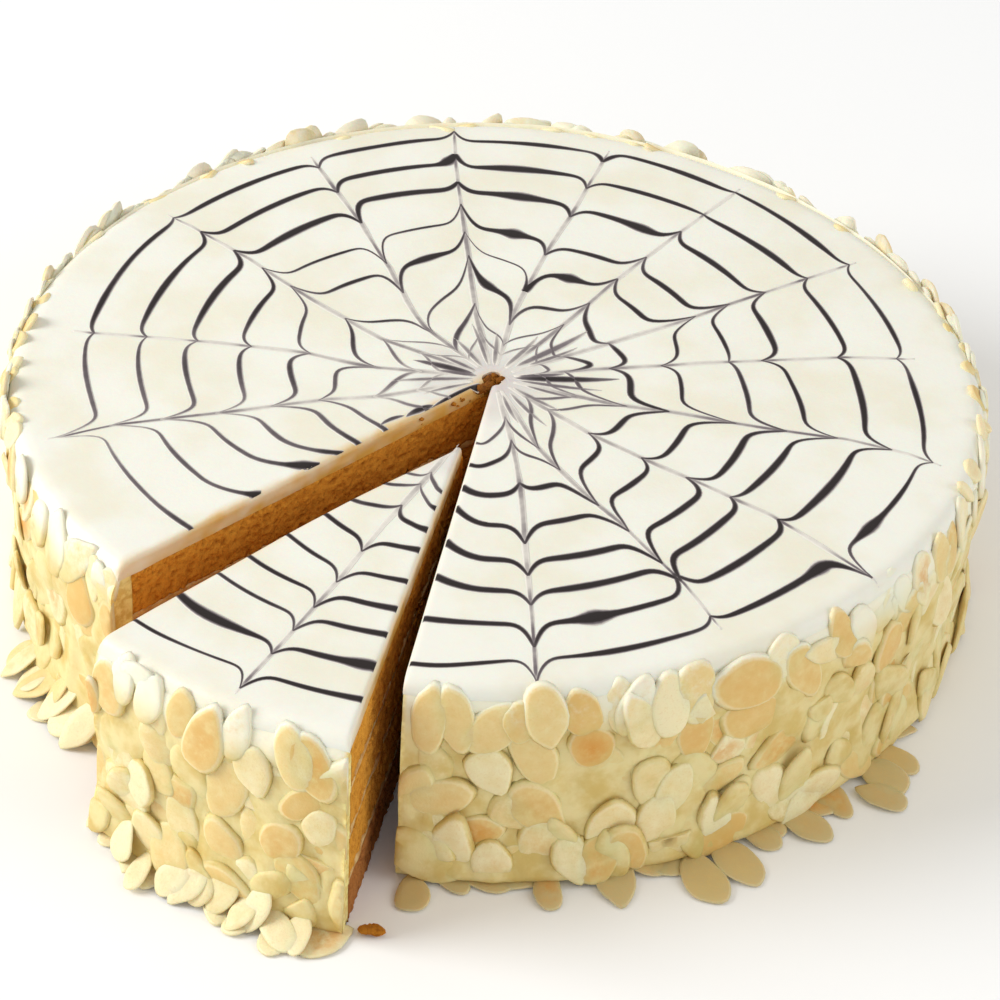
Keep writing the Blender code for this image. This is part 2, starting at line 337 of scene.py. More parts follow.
def inside_cuts(wedge, plan, margin):
    """Points in plan, moved back to that distance inside a cut where they come nearer to it or pass it."""
    for way, sign in ((wedge.first, 1.0), (wedge.last, -1.0)):
        inward = np.array([-math.sin(way), math.cos(way)]) * sign
        away = plan - wedge.axis
        wanted = margin + (cut_back(wedge, np.hypot(away[:, 0], away[:, 1])) if sign > 0 else 0.0)
        short = wanted - away @ inward
        past = (away @ heading(way) > MOVED_FROM) & (short > 0) & (short < wanted + MOVED_PAST)
        plan = plan + np.where(past, short, 0.0)[:, None] * inward
    return plan


# Settings that a user can change


def setting(kind, label, text, default, **manner):
    """A property of that kind with its label, its description and its default."""
    return kind(name=label, description=text, default=default, **manner)


length = partial(setting, bpy.props.FloatProperty, subtype="DISTANCE", unit="LENGTH", precision=5)
number = partial(setting, bpy.props.FloatProperty, subtype="FACTOR", min=0.0, soft_max=1.0)
power = partial(setting, bpy.props.FloatProperty, unit="POWER")
focal_length = partial(setting, bpy.props.FloatProperty, subtype="DISTANCE_CAMERA")
colour = partial(setting, bpy.props.FloatVectorProperty, size=3, min=0.0, max=1.0, subtype="COLOR")
amount = partial(setting, bpy.props.IntProperty, min=0)


class TORTE_PG_icing(bpy.types.PropertyGroup):
    """Sizes and colours of the icing on top."""

    rim_rounding: length("Rim rounding", "Radius over which the icing's rim turns down to the side", 0.0040)
    cut_rounding: length("Cut rounding", "Radius over which the icing sinks at a cut", 0.0013)
    tear: length("Tear", "Radius of the icing torn away where the cuts meet", 0.0024)
    slice_tip: length("Slice tip", "Radius at which the slice's icing begins", 0.0072)
    wave: length("Wave", "Height of the slow waves that the palette knife leaves", 0.00022)
    rim_wave: length("Rim wave", "How far the rim wanders in and out", 0.0005)
    white: colour("White", "Colour of the icing", light(241, 239, 226))
    warm: colour("Warm", "Colour where the icing is thin or in shade", light(236, 231, 210))
    edge: colour("Edge", "Colour of the icing where it is cut", light(220, 174, 86))
    smear: colour("Smear", "Pinkish grey haze where the web's lines meet", light(196, 182, 184))
    roughness: number("Roughness", "Roughness of the satin surface", 0.38)


class TORTE_PG_web(bpy.types.PropertyGroup):
    """Sizes and colours of the web drawn on the icing."""

    line_width: length("Line width", "Width of a ring line where it is full, with its soft borders", 0.0025)
    drag_width: length("Drag width", "Width of the haze that the drawn knife leaves", 0.0022)
    relief: length("Relief", "How far a line stands above the icing", 0.00009)
    dark: colour("Dark", "Colour of a full line", light(30, 19, 17))
    thin: colour("Thin", "Colour of a line where it is drawn out thin", light(122, 112, 114))
    pale: colour("Pale", "Colour of a line that has nearly run out", light(232, 226, 214))
    roughness: number("Roughness", "Roughness of the chocolate", 0.42)


class TORTE_PG_sponge(bpy.types.PropertyGroup):
    """Sizes and colours of the layers that the cuts show."""

    pitch: length("Pitch", "Distance between the points of a cut face", 0.00055)
    grain: length("Grain", "Depth of the crumb's grain", 0.00030)
    pore_size: length("Pore size", "Size of the cells that may hold a pore", 0.0017)
    pore_depth: length("Pore depth", "Depth of a full pore", 0.0009)
    overlap: length("Overlap", "How far neighbouring layers reach into each other", 0.00020)
    gold: colour("Gold", "Light crumb", light(226, 160, 58))
    brown: colour("Brown", "Middle crumb", light(194, 122, 30))
    # Umber and base umber are also the colours of the painted shade deeper under the icing
    umber: colour("Umber", "Dark crumb and the inside of pores", light(132, 70, 16))
    base_gold: colour("Base gold", "Light crumb of the lowest sponge", light(190, 124, 62))
    base_brown: colour("Base brown", "Middle crumb of the lowest sponge", light(140, 78, 34))
    base_umber: colour("Base umber", "Dark crumb of the lowest sponge", light(66, 30, 12))
    filling: colour("Filling", "Cream between the sponges", light(226, 190, 132))
    filling_shade: colour("Filling shade", "Cream where crumb has coloured it", light(196, 146, 84))
    roughness: number("Roughness", "Roughness of the crumb", 0.92)


class TORTE_PG_coat(bpy.types.PropertyGroup):
    """Sizes and colours of the cream coat round the side."""

    lump: length("Lump", "Height of the coat's lumps", 0.00095)
    smear: length("Smear", "Height of the fine smears", 0.00050)
    inner_gap: length("Inner gap", "Distance from the sponge to the coat's inner side", 0.0001)
    white: colour("White", "Colour of the cream", light(232, 214, 153))
    warm: colour("Warm", "Colour of the cream in its hollows", light(213, 185, 107))
    rim: colour("Rim", "Colour of the cream just under the icing", light(244, 237, 212))
    # The cut colours are the cut cream's own yellow, lifted paler with painted light against the shade in the
    # notch
    cut: colour("Cut", "Colour of the coat where it is cut through", light(253, 236, 160))
    cut_dark: colour("Dark cut", "Olive blotches of the coat where it is cut through", light(222, 192, 108))


class TORTE_PG_almonds(bpy.types.PropertyGroup):
    """Sizes and colours of the flaked almonds."""

    length: length("Length", "Length of a whole flake", 0.0160)
    width: length("Width", "Width of a whole flake", 0.0098)
    thickness: length("Thickness", "Thickness of a flake", 0.00060)
    rows: amount("Rows", "Rows of flakes on the wall, between the rim's and the foot's", 6)
    spacing: length("Spacing", "Distance between flakes of one row", 0.0086)
    foot_spacing: length("Foot spacing", "Distance between the flakes that lean at the foot", 0.0145)
    fringe_spacing: length("Fringe spacing", "Distance between the flakes that lean out at the left", 0.0048)
    bit_spacing: length("Bit spacing", "Distance between the small pieces on the rim", 0.0085)
    rim_spacing: length("Rim spacing", "Distance between the flakes that stand at the rim", 0.0078)
    broken: number("Broken", "Share of the flakes that are broken", 0.18)
    covered: number("Covered", "Share of the flakes that the cream covers", 0.40)
    toasted: number("Toasted", "Share of the flakes that are toasted darker", 0.15)
    # Ivory is the palest flakes' own colour and also the painted highlight on every flake's rim
    ivory: colour("Ivory", "Palest flakes and all rims", light(245, 230, 184))
    straw: colour("Straw", "Most flakes", light(234, 208, 142))
    honey: colour("Honey", "Warmer flakes", light(224, 184, 106))
    toast: colour("Toast", "Toasted middles", light(216, 150, 56))
    # Painted shade: this colour stands for the torte's shade on the free flakes that lie behind it
    shade: colour("Shade", "Flakes that lie on the floor", light(202, 182, 128))
    seed: amount("Seed", "Number that settles the scatter", 23)


class TORTE_PG_stage(bpy.types.PropertyGroup):
    """The studio: floor, light and camera."""

    floor: colour("Floor", "Colour of the floor", (0.94, 0.94, 0.93))
    sky: number("Sky", "Strength of the even light from all round", 0.60)
    key: power("Key", "Power of the large lamp on the left", 28.5)
    fill: power("Fill", "Power of the weak lamp on the right", 7.5)
    lens: focal_length("Lens", "Focal length in millimetres", 138.63)


# Materials


class Recipe:
    """Adds nodes to one node tree, with their inputs given as values or as other nodes' outputs."""

    def __init__(self, tree):
        self.tree = tree

    def add(self, kind, inputs=None, output=0, **settings):
        """One output of a new node."""
        node = self.tree.nodes.new("ShaderNode" + kind)
        for name, value in settings.items():
            setattr(node, name, value)
        for key, value in (inputs or {}).items():
            if isinstance(value, bpy.types.NodeSocket):
                self.tree.links.new(value, node.inputs[key])
            else:
                node.inputs[key].default_value = value
        return node.outputs[output]

    def group(self, tree, values):
        """All the outputs of a new node that holds that group."""
        return self.add("Group", values, node_tree=tree).node.outputs

    def noise(self, where, scale, detail=3.0, roughness=0.55):
        """Noise from 0 to 1 at that scale."""
        inputs = {"Vector": where, "Scale": scale, "Detail": detail, "Roughness": roughness}
        return self.add("TexNoise", inputs)

    def between(self, value, low, high):
        """The value mapped so that low gives 0 and high gives 1, with soft ends."""
        return self.add("MapRange", {0: value, 1: low, 2: high}, interpolation_type="SMOOTHSTEP")

    def math(self, operation, *values):
        """One sum with those values."""
        return self.add("Math", dict(enumerate(values)), operation=operation)

    def about_zero(self, value, spread):
        """A value from 0 to 1, spread that wide about zero."""
        return self.math("MULTIPLY_ADD", value, spread, -0.5 * spread)

    def mix(self, factor, first, second):
        """Two colours mixed by the factor."""
        return self.add("Mix", {0: factor, 6: first, 7: second}, 2, data_type="RGBA")

    def attribute(self, name):
        """The mark of that name on the mesh."""
        return self.add("Attribute", output=2, attribute_name=name)

    def place(self):
        """The point's place in metres."""
        return self.add("TexCoord", output=3)


WHITE = (1.0, 1.0, 1.0, 1.0)
RESULTS = {"Color": "NodeSocketColor", "Roughness": "NodeSocketFloat", "Height": "NodeSocketFloat"}


def opaque(rgb):
    """The colour as a shader's socket takes it."""
    return (*rgb, 1.0)


def shared_group(name, inputs, fill):
    """The node group of that name, made at its first use, which gives a colour, a roughness and a height."""
    if name in bpy.data.node_groups:
        return bpy.data.node_groups[name]
    tree = bpy.data.node_groups.new(name, "ShaderNodeTree")
    for label, default in inputs.items():
        kind = "NodeSocketColor" if default == WHITE else "NodeSocketFloat"
        tree.interface.new_socket(label, in_out="INPUT", socket_type=kind).default_value = default
    for label, kind in RESULTS.items():
        tree.interface.new_socket(label, in_out="OUTPUT", socket_type=kind)
    into = tree.nodes.new("NodeGroupInput").outputs
    out = tree.nodes.new("NodeGroupOutput").inputs
    for label, value in zip(RESULTS, fill(Recipe(tree), into)):
        tree.links.new(value, out[label])
    return tree


def spread_cream(recipe, into):
    """Slow changes from white to warm, a satin roughness and fine knife marks."""
    where = recipe.place()
    patches = recipe.noise(where, into["Patch Scale"], 4.0)
    marks = recipe.noise(where, into["Mark Scale"], 3.0, 0.6)
    rgb = recipe.mix(recipe.between(patches, 0.36, 0.7), into["White"], into["Warm"])
    roughness = recipe.math("MULTIPLY_ADD", patches, 0.16, recipe.math("SUBTRACT", into["Roughness"], 0.08))
    return rgb, roughness, recipe.math("ADD", recipe.math("MULTIPLY", marks, 0.5), patches)


def cream_group():
    """Cream or icing."""
    inputs = {"White": WHITE, "Warm": WHITE, "Patch Scale": 60.0, "Mark Scale": 700.0, "Roughness": 0.4}
    return shared_group("Spread cream", inputs, spread_cream)


def bake_crumb(recipe, into):
    """Speckles from gold to brown, dark pores and painted shade, and a coarse and a fine grain."""
    where = recipe.place()
    coarse = recipe.noise(where, 150.0, 4.0, 0.6)
    speckle = recipe.noise(where, 1150.0, 3.0, 0.65)
    fine = recipe.noise(where, 2600.0, 2.0)
    mixed = recipe.mix(recipe.between(coarse, 0.3, 0.72), into["Gold"], into["Brown"])
    mixed = recipe.mix(recipe.between(speckle, 0.40, 0.62), into["Gold"], mixed)
    # The pore input also carries painted shade, darker deeper under the icing
    dark = recipe.math("MAXIMUM", into["Pores And Painted Shade"], recipe.between(speckle, 0.58, 0.78))
    rgb = recipe.mix(recipe.math("MULTIPLY", dark, 0.66), mixed, into["Umber"])
    roughness = recipe.math("MULTIPLY_ADD", fine, 0.1, recipe.math("SUBTRACT", into["Roughness"], 0.05))
    return rgb, roughness, recipe.math("ADD", speckle, recipe.math("MULTIPLY", fine, 0.5))


def crumb_group():
    """Baked crumb."""
    inputs = {"Gold": WHITE, "Brown": WHITE, "Umber": WHITE, "Pores And Painted Shade": 0.0, "Roughness": 0.9}
    return shared_group("Baked crumb", inputs, bake_crumb)


def new_material(name):
    """A material, its recipe and its shader."""
    material = bpy.data.materials.new(name)
    material.use_nodes = True
    return material, Recipe(material.node_tree), material.node_tree.nodes["Principled BSDF"]


def finish_shader(recipe, shader, rgb, roughness, height, depth, **constants):
    """Joins colour, roughness and a bump of that depth in metres to the shader."""
    bump = recipe.add("Bump", {"Height": height, "Distance": depth, "Strength": 1.0})
    for key, value in (("Base Color", rgb), ("Roughness", roughness), ("Normal", bump)):
        recipe.tree.links.new(value, shader.inputs[key])
    for key, value in constants.items():
        shader.inputs[key.replace("_", " ")].default_value = value


# How small the patches of warmer colour are, and the depths of the bumps in metres
ICING_PATCH_SCALE = 45.0
FILLING_PATCH_SCALE = 320.0
CREAM_BUMP = 0.00012
COAT_BUMP = 0.0003
CRUMB_BUMP = 0.00035
WEB_BUMP = 0.00005
ALMOND_BUMP = 0.00010


def cream_material(name, white, warm, roughness, patch, edge=None, smear=None, dark=None, depth=CREAM_BUMP):
    """Cream of two tones, with the cut edge and the haze tinted by the marks on the mesh."""
    material, recipe, shader = new_material(name)
    values = {"White": opaque(white), "Warm": opaque(warm), "Patch Scale": patch, "Roughness": roughness}
    cream = recipe.group(cream_group(), values)
    rgb = cream["Color"]
    if edge is not None:
        rgb = recipe.mix(recipe.attribute("edge"), rgb, opaque(edge))
    if smear is not None:
        blotches = recipe.between(recipe.noise(recipe.place(), 420.0, 4.0, 0.6), 0.36, 0.62)
        tint = recipe.mix(blotches, opaque(smear), opaque(dark or smear))
        rgb = recipe.mix(recipe.attribute("haze"), rgb, tint)
    finish_shader(
        recipe, shader, rgb, cream["Roughness"], cream["Height"], depth,
        Subsurface_Weight=0.12, Subsurface_Scale=0.004, Specular_IOR_Level=0.4,
    )
    return material


def crumb_material(name, gold, brown, umber, roughness):
    """Crumb of three tones, the darkest where the marks on the mesh say that a pore is and where they carry
    painted shade deeper under the icing.
    """
    material, recipe, shader = new_material(name)
    values = {
        "Gold": opaque(gold), "Brown": opaque(brown), "Umber": opaque(umber),
        "Pores And Painted Shade": recipe.attribute("pore"), "Roughness": roughness,
    }
    results = recipe.group(crumb_group(), values)
    finish_shader(recipe, shader, *(results[key] for key in RESULTS), CRUMB_BUMP, Specular_IOR_Level=0.2)
    return material


def web_material(web):
    """Chocolate, dark where a line is full and grey or pale where it is drawn out."""
    material, recipe, shader = new_material("feathered chocolate")
    where = recipe.place()
    uneven = recipe.about_zero(recipe.noise(where, 500.0), 0.16)
    ink = recipe.math("ADD", recipe.attribute("ink"), uneven)
    rgb = recipe.mix(recipe.between(ink, 0.04, 0.48), opaque(web.pale), opaque(web.thin))
    rgb = recipe.mix(recipe.between(ink, 0.36, 0.86), rgb, opaque(web.dark))
    grain = recipe.noise(where, 1500.0)
    roughness = recipe.math("MULTIPLY_ADD", grain, 0.12, web.roughness)
    finish_shader(recipe, shader, rgb, roughness, grain, WEB_BUMP, Specular_IOR_Level=0.4)
    return material


def almond_material(almonds, coat):
    """Almond flesh: rims painted paler as a highlight, warmer middles, some toasted, painted shade on free
    flakes in the torte's shade, with the coat's cream smeared over it.
    """
    material, recipe, shader = new_material("flaked almond")
    where = recipe.place()
    core = recipe.attribute("core")
    patches = recipe.noise(where, 260.0, 4.0, 0.6)
    grain = recipe.noise(where, 1700.0, 3.0, 0.6)
    warmth = recipe.math("ADD", recipe.attribute("tone"), recipe.about_zero(patches, 0.7))
    toasted = recipe.math("MULTIPLY", recipe.attribute("toast"), recipe.math("POWER", core, 1.5))
    rgb = opaque(almonds.ivory)
    for share, tint in (
        (recipe.between(warmth, 0.0, 0.6), almonds.straw),
        (recipe.between(warmth, 0.5, 1.1), almonds.honey),
        # Painted shade: free flakes in the torte's shade take the shade colour
        (recipe.between(warmth, 1.3, 2.4), almonds.shade),
        (recipe.math("MULTIPLY", toasted, recipe.between(patches, 0.25, 0.6)), almonds.toast),
        # Painted highlight: the flake's rim and back are painted paler with ivory
        (recipe.math("MULTIPLY", recipe.between(core, 0.32, 0.0), 0.5), almonds.ivory),
        (recipe.math("MULTIPLY", recipe.between(grain, 0.52, 0.7), 0.25), almonds.honey),
    ):
        rgb = recipe.mix(share, rgb, opaque(tint))
    values = {"White": opaque(coat.white), "Warm": opaque(coat.warm), "Patch Scale": COAT_PATCH_SCALE}
    cream = recipe.group(cream_group(), values)["Color"]
    cream = recipe.mix(recipe.attribute("high"), cream, opaque(coat.rim))
    ragged = recipe.about_zero(recipe.noise(where, 420.0, 4.0, 0.65), 1.0)
    veil = recipe.between(recipe.math("ADD", recipe.attribute("veil"), ragged), 0.20, 0.90)
    finish_shader(
        recipe, shader, recipe.mix(veil, rgb, cream), recipe.math("MULTIPLY_ADD", grain, 0.2, 0.38),
        recipe.math("ADD", grain, patches), ALMOND_BUMP,
        Subsurface_Weight=0.15, Subsurface_Scale=0.003, Specular_IOR_Level=0.45,
    )
    return material


# The iced top and the web on it


def soft_edge(distance, radius):
    """How far a surface has dropped at that distance inside an edge rounded to that radius."""
    left = np.clip(radius - distance, 0.0, radius)
    return radius - np.sqrt(np.clip(radius**2 - left**2, 0.0, None))


def rim_radius(wedge, angle, wave):
    """The icing's radius at each angle, wandering a little in and out."""
    ring = in_space(wedge.place(np.full(np.shape(angle), ICING_RADIUS), angle))
    return ICING_RADIUS + bulge(wedge, angle) + wave * layered_noise(ring, (0.7, 0.021, 5), (0.3, 0.009, 6))


def icing_height(wedge, plan, icing):
    """The height of the icing's surface over each point in plan."""
    radius, angle = wedge.polar(plan)
    wave = icing.wave * layered_noise(in_space(plan), (1.0, 0.027, 1), (0.3, 0.011, 2))
    cut = np.clip(wedge.cut_distance(radius, angle), 0.0, None)
    cut = np.minimum(cut, np.clip(radius - wedge.tip, 0.0, None))
    rim = np.clip(rim_radius(wedge, angle, icing.rim_wave) - radius, 0.0, None)
    drop = soft_edge(cut, icing.cut_rounding) + soft_edge(rim, icing.rim_rounding)
    return ICING_TOP + wave - np.minimum(drop, icing.rim_rounding)


# Distances inside an edge, in shares of its rounding, close together where the surface rounds over
EDGE_STEPS = np.array([0.0, 0.06, 0.18, 0.36, 0.62, 1.0, 1.6, 2.4])

# The icing's grid: the radius and the rows of its fine middle, the steps outside it, and the largest shares
# of a wedge's sweep and of a half turn that its rounded edge and its lost part may take
ICING_HUB = 0.0045
ICING_HUB_ROWS = 6
ICING_ROW_STEP = 0.0024
ICING_COLUMN_STEP = math.radians(1.3)
WIDEST_EDGE = 0.3
WIDEST_LOSS = 0.9

# How raggedly the icing is torn at its point, over cells of that size, and how soon the wandering of the rim
# and the tear fade with the radius
TEAR_RAGGED = 0.42
TEAR_CELL = 0.0021
RIM_FADE = 8
TEAR_FADE = 30


def icing_grid(wedge, icing):
    """Radii and angles of a grid over the wedge that follows its rounded edges."""
    rim_steps = EDGE_STEPS * icing.rim_rounding
    inner = np.arange(ICING_HUB, ICING_RADIUS - rim_steps[-1], ICING_ROW_STEP)
    start = np.linspace(0.0, ICING_HUB, ICING_HUB_ROWS)[:-1]
    tear = icing.tear if wedge is TORTE else icing.slice_tip
    cut_steps = EDGE_STEPS * icing.cut_rounding
    count = int(wedge.sweep / ICING_COLUMN_STEP)
    radii, angles = [], []
    for radius in np.concatenate([start, inner, ICING_RADIUS - rim_steps[::-1]]):
        torn = max(radius, tear)
        back = math.asin(min(float(cut_back(wedge, torn)) / torn, WIDEST_LOSS))
        lean = math.asin(min(cut_steps[-1] / max(radius, LEAST_RADIUS), 1.0))
        lean = min(lean, WIDEST_EDGE * (wedge.sweep - back))
        near = lean * cut_steps / cut_steps[-1]
        middle = np.linspace(back + lean, wedge.sweep - lean, count)[1:-1]
        angle = np.concatenate([back + near, middle, wedge.sweep - near[::-1]])
        share = radius / ICING_RADIUS
        wander = rim_radius(wedge, angle, icing.rim_wave) - ICING_RADIUS
        spot = in_space(wedge.place(np.full(len(angle), tear), angle))
        ragged = tear * (1.0 + TEAR_RAGGED * soft_noise(spot, TEAR_CELL, 12))
        radii.append(radius + wander * share**RIM_FADE + ragged * (1.0 - share) ** TEAR_FADE)
        angles.append(angle)
    return np.array(radii), np.array(angles)


# How strongly the crumb has stained the icing along the first and last cut, and how far inward in metres
STAINS = {TORTE: ((0.12, 0.0008), (0.85, 0.0027)), SLICE: ((0.40, 0.0018), (0.45, 0.0009))}

# A stain that reaches further than this is broader near the axis, within that radius
BROAD_STAIN = 0.002
BROAD_STAIN_RADIUS = 0.034

# From this radius outwards the stains and the torn sides grow paler, over that distance and by that share
PALE_FROM = 0.088
PALE_REACH = 0.026
PALER = 0.50

# How far down its side the icing has rows of points, and the share of the height below which it is whole
SIDE_SHARES = (0.2, 0.4, 0.6, 0.8, 1.0)
TORN_SHARE = 0.9

# The haze where the web's lines meet reaches out this far
HAZE_RADIUS = 0.0165


def cut_stain(wedge, radius, angle, points):
    """How strongly the crumb has stained the icing's top at each point."""
    stained = np.zeros(len(radius))
    for inward, (strength, reach) in zip(wedge.cut_distances(radius, angle), STAINS[wedge]):
        broad = np.exp(-((radius / BROAD_STAIN_RADIUS) ** 2)) if reach > BROAD_STAIN else 0.0
        stain = reach * (1.0 + 0.5 * broad + 0.4 * soft_noise(points, 0.0050, 14))
        stained = np.maximum(stained, np.clip(1.1 * strength * (1.0 - inward / stain), 0.0, strength))
    return stained


def centre_haze(wedge, points):
    """How strong the haze of the web's centre is at each point, streaked outwards."""
    radius, angle = wedge.polar(points[:, :2])
    spread = 1.0 + 0.5 * soft_noise(points, 0.006, 9)
    streak = soft_noise(np.column_stack([angle * 9.0, radius * 40.0, np.zeros(len(radius))]), 1.0, 11)
    haze = np.clip(1.2 - radius / (HAZE_RADIUS * spread), 0.0, 1.0) * (0.62 + 0.18 * streak)
    return np.clip(haze, 0.0, 1.0)


def make_iced_top(wedge, icing, material):
    """The icing as one closed piece: a rounded top, torn cut sides and a flat underside."""
    radii, angles = icing_grid(wedge, icing)
    grid = np.arange(radii.size).reshape(radii.shape)
    radius, angle = radii.ravel(), angles.ravel()
    plan = wedge.place(radius, angle)
    top = icing_height(wedge, plan, icing)
    points = [in_space(plan, top)]
    paler = 1.0 - PALER * np.clip((radius - PALE_FROM) / PALE_REACH, 0.0, 1.0)
    edge = [cut_stain(wedge, radius, angle, points[0]) * paler]
    loop = np.concatenate([grid[0, :], grid[1:-1, -1], grid[-1, ::-1], grid[-2:0:-1, 0]])
    away = left_of(np.roll(plan[loop], -1, 0) - np.roll(plan[loop], 1, 0))
    on_rim = np.isin(loop, grid[-1, 1:-1])
    rings = [loop]
    for k, share in enumerate(SIDE_SHARES):
        height = top[loop] + (ICING_BOTTOM - top[loop]) * share
        torn = layered_noise(in_space(plan[loop], height), (0.00030, 0.0026, 7), (0.00018, 0.0009, 8))
        torn = np.where(on_rim, 0.0, torn * math.sin(math.pi * min(share, TORN_SHARE)))
        points.append(in_space(plan[loop] + away * torn[:, None], height))
        rings.append(grid.size + k * len(loop) + np.arange(len(loop)))
        edge.append(np.where(on_rim, 0.0, (0.80 + 0.20 * share) * paler[loop]))
    corners = grid[:-1, :-1], grid[1:, :-1], grid[1:, 1:], grid[:-1, 1:]
    faces = [cap(face) for face in zip(*(corner.ravel() for corner in corners))]
    faces += lofted(rings) + [cap(rings[-1])]
    points = np.concatenate(points)
    cut_edge = np.concatenate(edge)
    blotch = 0.9 + 0.35 * soft_noise(points, 0.004, 10) + 0.2 * soft_noise(points, 0.0016, 13)
    haze = centre_haze(wedge, points) * (1.0 - cut_edge)
    marks = {"edge": np.clip(cut_edge * blotch, 0.0, 1.0), "haze": haze}
    piece = new_piece(wedge.node("iced_top"), points, faces, material, "icing", marks, 58)
    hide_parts(wedge.node("icing"))
    return piece


# Each spoke of the web: its angle at falling radii, and the radii to which it pulls the rings, outermost
# first. Angles are in degrees, counterclockwise from +X, and radii are shares of the outer ring's.
TORTE_SPOKES = (
    (((1.1, 261.3), (0.0, 261.3)), (1.045, 0.893, 0.745, 0.620, 0.495, 0.42, 0.335, 0.25)),
    (((1.05, 276.5), (0.9, 277), (0.7, 277.7), (0.6, 278.2), (0.42, 280), (0.18, 282)),
     (1.08, 0.97, 0.83, 0.73, 0.62, 0.40, 0.24, 0.15)),
    (((1.0, 301), (0.85, 301.5), (0.6, 300), (0.5, 298), (0.4, 296), (0.28, 293)),
     (0.97, 0.81, 0.84, 0.77, 0.64, 0.53, 0.38, 0.29)),
    (((1.08, 322), (1.0, 322.5), (0.8, 323.8), (0.6, 323), (0.4, 320.5), (0.3, 319)),
     (1.10, 0.82, 0.69, 0.57, 0.45, 0.30, 0.17, 0.10)),
    (((1.1, 345.5), (1.0, 347), (0.85, 348), (0.58, 346.5), (0.42, 346), (0.3, 344)),
     (1.06, 0.96, 0.83, 0.71, 0.59, 0.43, 0.33, 0.22)),
    (((1.0, 368.1), (0.85, 369.5), (0.65, 370), (0.4, 370.5), (0.25, 372)),
     (0.975, 0.835, 0.65, 0.57, 0.405, 0.28, 0.17, 0.10)),
    (((1.0, 391), (0.65, 390.5), (0.5, 389.5), (0.2, 390)),
     (1.015, 0.89, 0.765, 0.66, 0.56, 0.315, 0.19, 0.12)),
    (((1.0, 414), (0.5, 415), (0.15, 413)),
     (1.01, 0.876, 0.78, 0.635, 0.515, 0.39, 0.28, 0.18)),
    (((1.0, 434.5), (0.7, 435.5), (0.55, 437), (0.4, 438.5), (0.25, 441)),
     (0.965, 0.835, 0.70, 0.52, 0.36, 0.215, 0.13, 0.09)),
    (((1.05, 457), (0.9, 457.6), (0.5, 458.5), (0.3, 460), (0.25, 461)),
     (1.05, 0.945, 0.82, 0.72, 0.60, 0.50, 0.30, 0.19)),
    (((1.0, 478.7), (0.7, 479.5), (0.5, 482), (0.4, 485), (0.25, 492)),
     (0.965, 0.845, 0.70, 0.52, 0.395, 0.21, 0.13, 0.09)),
    (((0.95, 503.5), (0.75, 504.5), (0.6, 506.6), (0.42, 510), (0.3, 514)),
     (1.012, 0.92, 0.805, 0.705, 0.605, 0.42, 0.30, 0.20)),
    (((0.97, 533.5), (0.7, 532.3), (0.45, 531.8), (0.28, 536)),
     (0.965, 0.838, 0.715, 0.585, 0.44, 0.27, 0.17, 0.11)),
    (((1.03, 556.5), (0.9, 555.5), (0.6, 556), (0.4, 556), (0.28, 559)),
     (1.05, 0.92, 0.80, 0.67, 0.54, 0.425, 0.295, 0.19)),
    (((1.1, 582.8), (0.0, 582.8)), (0.900, 0.705, 0.53, 0.46, 0.41, 0.328, 0.20, 0.13)),
)

